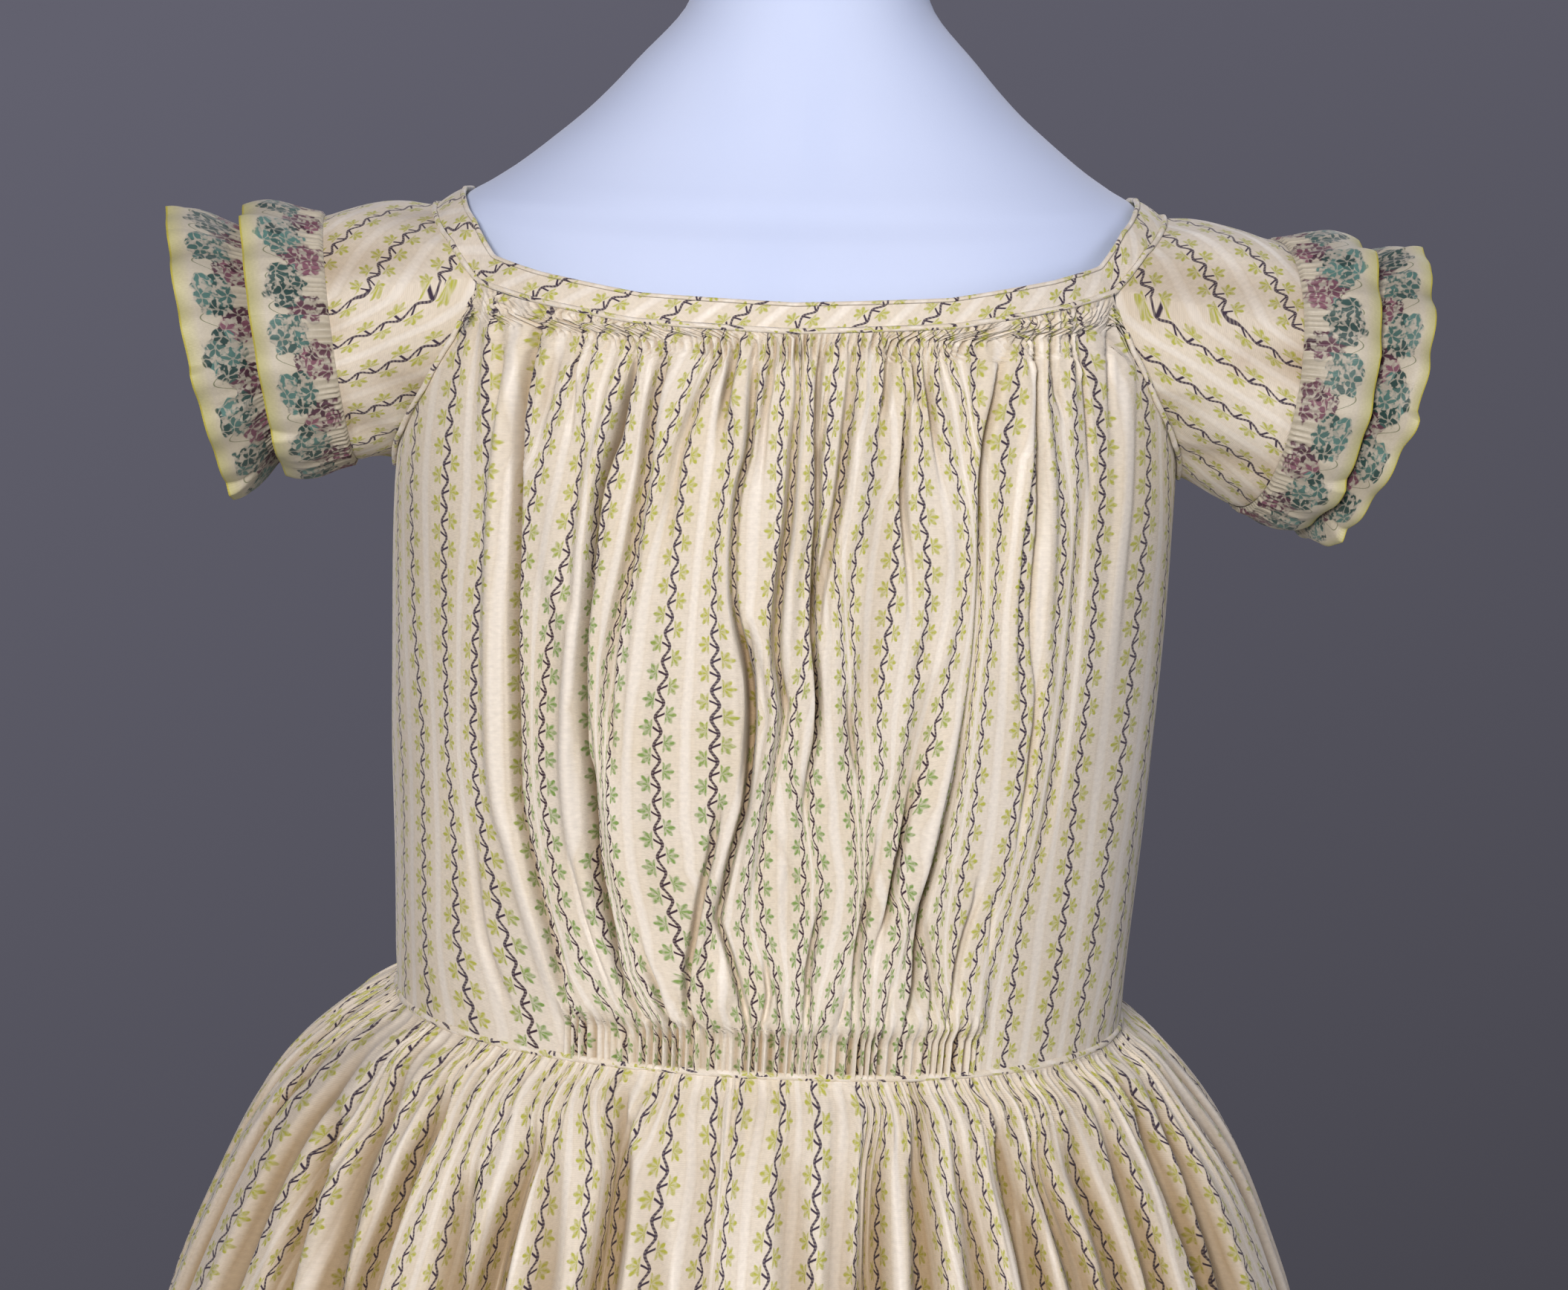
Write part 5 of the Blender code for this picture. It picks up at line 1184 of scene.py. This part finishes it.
def wovenBrocade():
    # figured silk and wool stripe, drawloom woven: a matt ribbed cream ground, a narrow glossy satin
    # stripe halfway between the vines, and coloured weft that lies a little above the ground
    material, tree, shader = startMaterial("woven silk and wool brocade", brocade["shader"])
    cloth = addNode(tree, "ShaderNodeUVMap", {"uv_map": "cloth"}).outputs[0]
    split = addNode(tree, "ShaderNodeSeparateXYZ", {}, {0: cloth})
    values = {"u": split.outputs[0], "v": split.outputs[1]}
    for key, noise in brocade["noises"].items():
        values[key] = addNode(tree, "ShaderNodeTexNoise", {}, {"Vector": cloth, **noise}).outputs[0]
    for key in ("sage", "inFold", "stain"):
        values[key] = addNode(tree, "ShaderNodeAttribute", {"attribute_name": key}).outputs["Fac"]
    repeat = brocade["repeat"]
    steps = [
        # mm across the cloth and up it, each thread a little out of line
        ("wobble", "MULTIPLY_ADD", "slub", 0.5, -0.25),
        ("across", "MULTIPLY_ADD", "u", 1000, "wobble"),
        ("up", "MULTIPLY_ADD", "v", 1000, "wobble"),
        ("cell", "DIVIDE", "across", bodice["stripe"]),
        ("nearest", "ROUND", "cell"),
        ("offCell", "SUBTRACT", "cell", "nearest"),
        ("off", "MULTIPLY", "offCell", bodice["stripe"]),
        ("away", "ABSOLUTE", "off"),
        # leaves stand left and right in turn, half a repeat apart
        ("onLeft", "LESS_THAN", "off", 0),
        ("repeats", "DIVIDE", "up", repeat),
        ("lifted", "SUBTRACT", "repeats", brocade["leafLift"] / repeat),
        ("shifted", "MULTIPLY_ADD", "onLeft", 0.5, "lifted"),
        ("inRepeat", "FRACT", "shifted"),
        ("centred", "SUBTRACT", "inRepeat", 0.5),
        ("rise", "MULTIPLY", "centred", repeat),
        # the winding vine, 0.7 mm thick, in 0.9 mm stitches
        ("turn", "MULTIPLY_ADD", "repeats", 2 * pi, brocade["vinePhase"]),
        ("wave", "SINE", "turn"),
        ("offVine", "MULTIPLY_ADD", "wave", -0.85, "off"),
        ("fromVine", "ABSOLUTE", "offVine"),
        ("maskVine", "MULTIPLY_ADD", "fromVine", -5.5, 2.75),
        ("stitchTurn", "MULTIPLY", "up", 2 * pi / 0.9),
        ("stitch", "SINE", "stitchTurn"),
        ("stitched", "MULTIPLY_ADD", "stitch", 0.12, 0.88),
        ("maskThread", "MULTIPLY", "maskVine", "stitched"),
    ]
    # a short twig from the vine up to each leaf, on the right and then on the left
    for hand, way, shift in (("right", 1, 0.0), ("left", -1, 0.5)):
        mask = "mask" + hand.title()
        steps += [
            (hand + "Turns", "ADD", "lifted", shift),
            (hand + "Fract", "FRACT", hand + "Turns"),
            (hand + "Rise", "MULTIPLY_ADD", hand + "Fract", repeat, 0.65 - repeat / 2),
            (hand + "Line", "MULTIPLY_ADD", "off", -0.57 * way, hand + "Rise"),
            (hand + "Far", "ABSOLUTE", hand + "Line"),
            (mask + "Line", "MULTIPLY_ADD", hand + "Far", -4.5, 2.0),
            (mask + "From", "MULTIPLY_ADD", "off", 5.0 * way, 4.0),
            (mask + "To", "MULTIPLY_ADD", "off", -5.0 * way, 7.5),
            (mask + "Span", "MULTIPLY", mask + "From", mask + "To"),
            (mask + "Twig", "MULTIPLY", mask + "Line", mask + "Span"),
        ]
    steps += [
        ("maskTwig", "MAXIMUM", "maskRightTwig", "maskLeftTwig"),
        # a fan of five lacy fingers, from the twig's end outward
        ("leafAcross", "SUBTRACT", "away", 1.9),
        ("leafUp", "MULTIPLY_ADD", "rise", 0.85, 0.15),
        ("lobeTurn", "ARCTAN2", "leafUp", "leafAcross"),
        ("lobes", "MULTIPLY", "lobeTurn", 7.2),
        ("lobeWave", "COSINE", "lobes"),
        ("outer", "COSINE", "lobeTurn"),
        ("reachOut", "MULTIPLY_ADD", "outer", 0.35, 1.92),
        ("reach", "MULTIPLY_ADD", "lobeWave", 0.42, "reachOut"),
        ("acrossSquare", "MULTIPLY", "leafAcross", "leafAcross"),
        ("square", "MULTIPLY_ADD", "leafUp", "leafUp", "acrossSquare"),
        ("fromLeaf", "SQRT", "square"),
        ("insideLeaf", "SUBTRACT", "reach", "fromLeaf"),
        ("maskInside", "MULTIPLY_ADD", "insideLeaf", 2.6, 0.35),
        ("maskFan", "MULTIPLY_ADD", "leafAcross", 2.5, 1.3),
        ("fingers", "MULTIPLY_ADD", "lobeWave", 0.27, 0.75),
        ("speckle", "MULTIPLY_ADD", "thread", 2.2, -0.22),
        ("stitchedLeaf", "MULTIPLY", "fingers", "speckle"),
        ("maskSolid", "MULTIPLY", "maskInside", "maskFan"),
        ("maskLeaf", "MULTIPLY", "maskSolid", "stitchedLeaf"),
        # the satin stripe, 3.4 mm wide with soft edges, and a faint line along each of them
        ("maskSatin", "MULTIPLY_ADD", "away", 0.9, -4.75),
        ("fromSatinEdge", "SUBTRACT", "away", 5.45),
        ("nearSatinEdge", "ABSOLUTE", "fromSatinEdge"),
        ("maskLine", "MULTIPLY_ADD", "nearSatinEdge", -5.0, 1.4),
        ("lineShade", "MULTIPLY", "maskLine", 0.07),
        # weft ribs, and the relief of the figure
        ("ribTurn", "MULTIPLY", "up", 2 * pi / brocade["rib"]),
        ("rib", "SINE", "ribTurn"),
        ("ribRelief", "MULTIPLY_ADD", "rib", 0.35, "thread"),
        ("smoothSatin", "MULTIPLY_ADD", "maskSatin", -0.85, 1.0),
        ("groundRelief", "MULTIPLY", "ribRelief", "smoothSatin"),
        ("figure", "MAXIMUM", "maskLeaf", "maskThread"),
        ("relief", "MULTIPLY_ADD", "figure", 1.1, "groundRelief"),
        ("rough", "MULTIPLY_ADD", "maskSatin", -0.32, 0.76),
        ("wornShare", "MULTIPLY_ADD", "age", 1.8, -0.72),
        ("maskWorn", "MULTIPLY", "wornShare", 0.9),
        ("maskFold", "MULTIPLY", "inFold", 0.9),
        ("ribTone", "MULTIPLY_ADD", "rib", 0.025, 0.85),
        ("grain", "MULTIPLY_ADD", "thread", 0.30, "ribTone"),
    ]
    for name, operation, *terms in steps:
        node = addNode(tree, "ShaderNodeMath", {"operation": operation, "use_clamp": name[:4] == "mask"},
                       {i: values.get(term, term) for i, term in enumerate(terms)})
        values[name] = node.outputs[0]
    colours = {key: hexColour(value) for key, value in brocade.items() if isinstance(value, str)}
    colours["grain"] = values["grain"]
    layers = [
        ("aged", "MIX", "maskWorn", "ground", "worn"),
        ("striped", "MIX", "maskSatin", "aged", "satin"),
        ("lined", "MIX", "lineShade", "striped", "fold"),
        ("leafColour", "MIX", "sage", "chartreuse", "sageLeaf"),
        ("leafed", "MIX", "maskLeaf", "lined", "leafColour"),
        ("vineColour", "MIX", "sage", "vine", "maroon"),
        ("twigged", "MIX", "maskTwig", "leafed", "vineColour"),
        ("vined", "MIX", "maskThread", "twigged", "vineColour"),
        # painted shade: the colour is multiplied toward the fold brown where the painted shade attribute
        # is high
        ("folded", "MULTIPLY", "maskFold", "vined", "fold"),
        ("rusted", "MIX", "stain", "folded", "rust"),
        ("grained", "MULTIPLY", 1.0, "rusted", "grain"),
    ]
    for name, blend, factor, under, over in layers:
        node = addNode(tree, "ShaderNodeMix", {"data_type": "RGBA", "blend_type": blend},
                       {0: values.get(factor, factor), 6: colours[under], 7: colours[over]})
        colours[name] = node.outputs[2]
    bump = addNode(tree, "ShaderNodeBump", {}, {"Strength": 0.5, "Distance": 0.00012,
                                                "Height": values["relief"]})
    tree.links.new(colours["grained"], shader.inputs["Base Color"])
    tree.links.new(values["rough"], shader.inputs["Roughness"])
    tree.links.new(bump.outputs[0], shader.inputs["Normal"])
    return material


ribbonLook = {
    "cream": "c0b9a8",
    "border": "bcb97a",
    "edge": "b5ac40",
    "teal": "24423f",
    "tealLight": "557d77",
    "plum": "492a39",
    "plumLight": "835566",
    "gap": "aea89b",
    "stem": "6f7558",
    # brownish grey of the painted shade in the ribbon's gathers and pleats
    "fold": "8e8672",
    "repeat": 19.6,                # mm along the ribbon from one spray to its like
    "sprays": [                    # shift and length in repeats, mm up the ribbon, and size
        ("teal", 0.0, 0.86, 12.6, 11.7),
        ("plum", 0.5, 0.9, 6.2, 11.2),
    ],
    "noises": {
        "thread": {"Scale": 1100.0},
        "lump": {"Scale": 260.0, "Detail": 1.0},
        "buds": {"Scale": 620.0, "Detail": 1.0},
    },
    "shader": {"Roughness": 0.5, "Sheen Weight": 0.15, "IOR": 1.5, "Specular IOR Level": 0.45},
}


def wovenRibbon():
    # figured silk ribbon with a plain coloured selvedge: rounded sprays in two colours in turn, a
    # little glossier than the dress
    material, tree, shader = startMaterial("woven silk ribbon", ribbonLook["shader"])
    cloth = addNode(tree, "ShaderNodeUVMap", {"uv_map": "cloth"}).outputs[0]
    noises = {key: addNode(tree, "ShaderNodeTexNoise", {}, {"Vector": cloth, **noise})
              for key, noise in ribbonLook["noises"].items()}
    values = {key: noise.outputs[0] for key, noise in noises.items()}
    warp = addNode(tree, "ShaderNodeMix", {"data_type": "RGBA", "blend_type": "LINEAR_LIGHT"},
                   {0: 0.0016, 6: cloth, 7: noises["lump"].outputs[1]}).outputs[2]
    flowers = addNode(tree, "ShaderNodeTexVoronoi", {}, {"Vector": warp, "Scale": 165.0,
                                                         "Randomness": 0.8})
    for across, up, vector in (("u", "v", cloth), ("warpedX", "warpedY", warp),
                               ("flowerX", "flowerY", flowers.outputs["Position"])):
        split = addNode(tree, "ShaderNodeSeparateXYZ", {}, {0: vector})
        values[across], values[up] = split.outputs[0], split.outputs[1]
    values["tone"] = flowers.outputs["Color"]
    values["inFold"] = addNode(tree, "ShaderNodeAttribute", {"attribute_name": "inFold"}).outputs["Fac"]
    repeat = ribbonLook["repeat"]
    steps = [
        ("across", "MULTIPLY", "u", 1000),
        ("up", "MULTIPLY", "v", 1000),
        ("lumpy", "MULTIPLY_ADD", "lump", 7.5, -3.75),
        ("turns", "DIVIDE", "across", repeat),
    ]
    # teal sprays nearer the free edge, and plum ones between them, near the seam
    for kind, shift, length, height, size in ribbonLook["sprays"]:
        steps += [
            (kind + "Turns", "ADD", "turns", shift),
            (kind + "Part", "FRACT", kind + "Turns"),
            (kind + "Off", "MULTIPLY_ADD", kind + "Part", repeat * length, -repeat * length / 2),
            (kind + "X", "MULTIPLY", kind + "Off", kind + "Off"),
            (kind + "Up", "SUBTRACT", "up", height),
            (kind + "Square", "MULTIPLY_ADD", kind + "Up", kind + "Up", kind + "X"),
            (kind + "Far", "SQRT", kind + "Square"),
            (kind + "Edge", "ADD", kind + "Far", "lumpy"),
            ("mask" + kind.title(), "MULTIPLY_ADD", kind + "Edge", -1.8, size),
        ]
    steps += [
        # five-petalled flowers 5 mm across, each turned its own way, with light middles
        ("petalX", "SUBTRACT", "warpedX", "flowerX"),
        ("petalY", "SUBTRACT", "warpedY", "flowerY"),
        ("petalTurn", "ARCTAN2", "petalY", "petalX"),
        ("petalWave", "MULTIPLY_ADD", "tone", 9.0, "petalTurn"),
        ("petalFive", "MULTIPLY", "petalWave", 5),
        ("petalLobe", "COSINE", "petalFive"),
        ("petalXX", "MULTIPLY", "petalX", "petalX"),
        ("petalSquare", "MULTIPLY_ADD", "petalY", "petalY", "petalXX"),
        ("petalFar", "SQRT", "petalSquare"),
        ("petalMm", "MULTIPLY", "petalFar", 1000),
        ("petalReach", "MULTIPLY_ADD", "petalLobe", 0.85, 2.25),
        ("petalInside", "SUBTRACT", "petalReach", "petalMm"),
        ("maskPetal", "MULTIPLY_ADD", "petalInside", 2.6, 0.5),
        ("maskHeart", "MULTIPLY_ADD", "petalMm", -3.0, 2.1),
        ("maskRay", "MULTIPLY_ADD", "petalLobe", -2.5, -1.3),
        ("heartOrRay", "MAXIMUM", "maskHeart", "maskRay"),
        ("maskLight", "MULTIPLY", "heartOrRay", 0.75),
        # small buds between the flowers
        ("maskBud", "MULTIPLY_ADD", "buds", 9.0, -4.15),
        ("maskDrawn", "MAXIMUM", "maskPetal", "maskBud"),
        ("maskOuter", "SUBTRACT", 1.0, "maskDrawn"),
        ("maskGap", "MAXIMUM", "maskLight", "maskOuter"),
        ("maskTone", "MULTIPLY_ADD", "tone", 1.7, -0.45),
        # a thin stem that winds along the ribbon
        ("stemTurn", "MULTIPLY", "turns", 4 * pi),
        ("stemWave", "SINE", "stemTurn"),
        ("stemLine", "MULTIPLY_ADD", "stemWave", 3.4, 14.0),
        ("stemOff", "SUBTRACT", "up", "stemLine"),
        ("stemFar", "ABSOLUTE", "stemOff"),
        ("maskStem", "MULTIPLY_ADD", "stemFar", -3.5, 1.2),
        # the pale green selvedge, which fades into the ground, and its thin edge
        ("maskBorder", "MULTIPLY_ADD", "up", 0.17, -3.12),
        ("maskEdge", "MULTIPLY_ADD", "up", 3.0, -69.8),
        # ribs across the ribbon, 0.4 mm apart, and the relief of the figure
        ("ribTurn", "MULTIPLY", "across", 2 * pi / 0.4),
        ("rib", "SINE", "ribTurn"),
        ("ground", "MULTIPLY_ADD", "rib", 0.3, "thread"),
        ("figure", "MAXIMUM", "maskTeal", "maskPlum"),
        ("relief", "ADD", "figure", "ground"),
        ("grain", "MULTIPLY_ADD", "thread", 0.24, 0.88),
        ("maskFold", "MULTIPLY", "inFold", 0.9),
    ]
    for name, operation, *terms in steps:
        node = addNode(tree, "ShaderNodeMath", {"operation": operation, "use_clamp": name[:4] == "mask"},
                       {i: values.get(term, term) for i, term in enumerate(terms)})
        values[name] = node.outputs[0]
    colours = {key: hexColour(value) for key, value in ribbonLook.items() if isinstance(value, str)}
    colours["grain"] = values["grain"]
    layers = [
        ("stemmed", "MIX", "maskStem", "cream", "stem"),
        ("tealTones", "MIX", "maskTone", "teal", "tealLight"),
        ("plumTones", "MIX", "maskTone", "plum", "plumLight"),
        ("tealPetals", "MIX", "maskGap", "tealTones", "gap"),
        ("plumPetals", "MIX", "maskGap", "plumTones", "gap"),
        ("plummed", "MIX", "maskPlum", "stemmed", "plumPetals"),
        ("tealed", "MIX", "maskTeal", "plummed", "tealPetals"),
        ("bordered", "MIX", "maskBorder", "tealed", "border"),
        ("lined", "MIX", "maskEdge", "bordered", "edge"),
        ("grained", "MULTIPLY", 1.0, "lined", "grain"),
        # painted shade, multiplied in where the painted shade attribute is high
        ("shaded", "MULTIPLY", "maskFold", "grained", "fold"),
    ]
    for name, blend, factor, under, over in layers:
        node = addNode(tree, "ShaderNodeMix", {"data_type": "RGBA", "blend_type": blend},
                       {0: values.get(factor, factor), 6: colours[under], 7: colours[over]})
        colours[name] = node.outputs[2]
    bump = addNode(tree, "ShaderNodeBump", {}, {"Strength": 0.4, "Distance": 0.0001,
                                                "Height": values["relief"]})
    tree.links.new(colours["shaded"], shader.inputs["Base Color"])
    tree.links.new(bump.outputs[0], shader.inputs["Normal"])
    return material


jersey = {
    "blueWhite": "c8d7f9",
    "lightest": "d4e1fe",
    "knit": {"Scale": 1300.0, "Detail": 2.0},      # stitches 0.8 mm wide
    "unevenness": {"Scale": 14.0, "Detail": 3.0},
    "shader": {"Roughness": 0.85, "Sheen Weight": 0.2, "Specular IOR Level": 0.25},
}


def knittedJersey():
    # fine cotton jersey stretched over the form: matt, pale and very even
    material, tree, shader = startMaterial("knitted cotton jersey", jersey["shader"])
    cloth = addNode(tree, "ShaderNodeUVMap", {"uv_map": "cloth"}).outputs[0]
    knit, tone = [addNode(tree, "ShaderNodeTexNoise", {}, {"Vector": cloth, **jersey[key]}).outputs[0]
                  for key in ("knit", "unevenness")]
    colour = addNode(tree, "ShaderNodeMix", {"data_type": "RGBA"},
                     {0: tone, 6: hexColour(jersey["blueWhite"]), 7: hexColour(jersey["lightest"])})
    bump = addNode(tree, "ShaderNodeBump", {}, {"Strength": 0.3, "Distance": 0.0001, "Height": knit})
    tree.links.new(colour.outputs[2], shader.inputs["Base Color"])
    tree.links.new(bump.outputs[0], shader.inputs["Normal"])
    return material


steelLook = {
    "darker": "a9abae",
    "lighter": "c6c8ca",
    "brushing": (8.0, 2500.0, 1.0),        # marks 0.4 mm apart and drawn out round the turned parts
    "roughFrom": 0.28,
    "roughTo": 0.45,
}


def brushedSteel():
    # brushed steel, as on a shop stand: soft long highlights
    material, tree, shader = startMaterial("brushed steel", {"Metallic": 1.0})
    cloth = addNode(tree, "ShaderNodeUVMap", {"uv_map": "cloth"}).outputs[0]
    stretch = addNode(tree, "ShaderNodeMapping", {}, {"Vector": cloth, "Scale": steelLook["brushing"]})
    brush = addNode(tree, "ShaderNodeTexNoise", {}, {"Vector": stretch.outputs[0], "Scale": 1.0,
                                                     "Detail": 3.0}).outputs[0]
    colour = addNode(tree, "ShaderNodeMix", {"data_type": "RGBA"},
                     {0: brush, 6: hexColour(steelLook["darker"]), 7: hexColour(steelLook["lighter"])})
    rough = addNode(tree, "ShaderNodeMapRange", {}, {"Value": brush, 3: steelLook["roughFrom"],
                                                     4: steelLook["roughTo"]})
    bump = addNode(tree, "ShaderNodeBump", {}, {"Strength": 0.15, "Distance": 0.0001, "Height": brush})
    tree.links.new(colour.outputs[2], shader.inputs["Base Color"])
    tree.links.new(rough.outputs[0], shader.inputs["Roughness"])
    tree.links.new(bump.outputs[0], shader.inputs["Normal"])
    return material


# Making
brocadeCloth = wovenBrocade()
ribbonCloth = wovenRibbon()
steel = brushedSteel()
print("materials made")
makeCords(brocadeCloth)
makeFront(brocadeCloth)
makeBack(-1, brocadeCloth)
makeBack(1, brocadeCloth)
print("bodice made")
makeNeckband(brocadeCloth)
print("neckband and cords made")
for sleeveName, sleeveSide in (("left", -1), ("right", 1)):
    makeSleeve(sleeveName, sleeveSide, brocadeCloth)
    makeFrill("inner", sleeveName, ribbonCloth)
    makeFrill("outer", sleeveName, ribbonCloth)
print("sleeves and frills made")
for panel in range(5):
    makeSkirtPanel(panel, brocadeCloth)
print("skirt made")
makeForm(knittedJersey())
makeTurned("stand_rod", stand["pole"], "stand_pole", steel)
makeTurned("stand_disc", stand["base"], "stand_base", steel)
print("form and stand made")

# Studio
studio = {
    "floorRadius": 1.35,
    "floor": "cfcfcb",
    "backTop": "62616e",
    "backLow": "47464e",
    "key": {"at": (-0.55, -2.7, 1.95), "aim": (0, 0, 0.9), "size": 0.9, "watts": 74, "colour": "fff8f2"},
    "fill": {"at": (2.0, -1.5, 1.3), "aim": (0, 0, 0.85), "size": 1.8, "watts": 12, "colour": "f8f8ff"},
    "rim": {"at": (0.6, 1.8, 2.4), "aim": (0, 0, 0.95), "size": 1.2, "watts": 8, "colour": "ffffff"},
}
camera = {
    "focal": 6591,                 # picture points, from the photograph's perspective
    "frameWidth": 2110,
    "aim": (0.002, 0.0, 0.8845),
    "distance": 1.45,
    "pitch": 10.5,                 # degrees looking down
    "roll": 2.97,
}


def makeFloor():
    count = 96
    turn = 2 * pi * np.arange(count) / count
    rings = []
    for radius in (0.001, 0.4, 0.9, studio["floorRadius"]):
        rings.append(np.stack([radius * np.cos(turn), radius * np.sin(turn),
                               np.full(count, -0.0006)], axis=-1))
    floor = makeSheet("studio_floor", np.array(rings), np.linspace(0, 1, count + 1)[None, :],
                      np.array([0, 0.3, 0.7, 1.0])[:, None], closed=True)
    material, _, _ = startMaterial("painted board", {"Roughness": 0.8,
                                                     "Base Color": hexColour(studio["floor"])})
    floor.data.materials.append(material)


def makeLight(name, light):
    data = bpy.data.lights.new(name, "AREA")
    data.shape = "DISK"
    data.size = light["size"]
    data.energy = light["watts"]
    data.color = hexColour(light["colour"])[:3]
    lamp = bpy.data.objects.new(name, data)
    lamp.location = light["at"]
    aim = Vector(light["aim"]) - Vector(light["at"])
    lamp.rotation_euler = aim.to_track_quat("-Z", "Y").to_euler()
    bpy.context.scene.collection.objects.link(lamp)


def makeWorld():
    # a grey wall of light, paler above a slanting line
    world = bpy.data.worlds.new("studio")
    world.use_nodes = True
    tree = world.node_tree
    where = addNode(tree, "ShaderNodeTexCoord")
    split = addNode(tree, "ShaderNodeSeparateXYZ", {}, {0: where.outputs["Generated"]})
    slope = addNode(tree, "ShaderNodeMath", {"operation": "MULTIPLY_ADD"},
                    {0: split.outputs[0], 1: -0.46, 2: split.outputs[2]})
    share = addNode(tree, "ShaderNodeMapRange", {}, {"Value": slope.outputs[0], 1: -0.37, 2: 0.0})
    mixed = addNode(tree, "ShaderNodeMix", {"data_type": "RGBA"},
                    {0: share.outputs[0], 6: hexColour(studio["backLow"]),
                     7: hexColour(studio["backTop"])})
    tree.links.new(mixed.outputs[2], tree.nodes["Background"].inputs["Color"])
    tree.nodes["Background"].inputs["Strength"].default_value = 1.0
    bpy.context.scene.world = world


def makeCamera():
    data = bpy.data.cameras.new("camera")
    data.sensor_width = 36.0
    data.lens = camera["focal"] * data.sensor_width / camera["frameWidth"]
    data.clip_start = 0.05
    data.clip_end = 50
    pitch, roll = radians(camera["pitch"]), radians(camera["roll"])
    back = Vector((0, -cos(pitch), sin(pitch)))
    level = Vector((1, 0, 0))
    upright = back.cross(level)
    up = upright * cos(roll) - level * sin(roll)
    right = level * cos(roll) + upright * sin(roll)
    place = Vector(camera["aim"]) + back * camera["distance"]
    eye = bpy.data.objects.new("camera", data)
    turn = Matrix((right, up, back)).transposed().to_4x4()
    eye.matrix_world = Matrix.Translation(place) @ turn
    bpy.context.scene.collection.objects.link(eye)
    bpy.context.scene.camera = eye


makeFloor()
for lightName in ("key", "fill", "rim"):
    makeLight(lightName, studio[lightName])
makeWorld()
makeCamera()
bpy.context.scene.view_settings.view_transform = "Standard"
print("studio made")
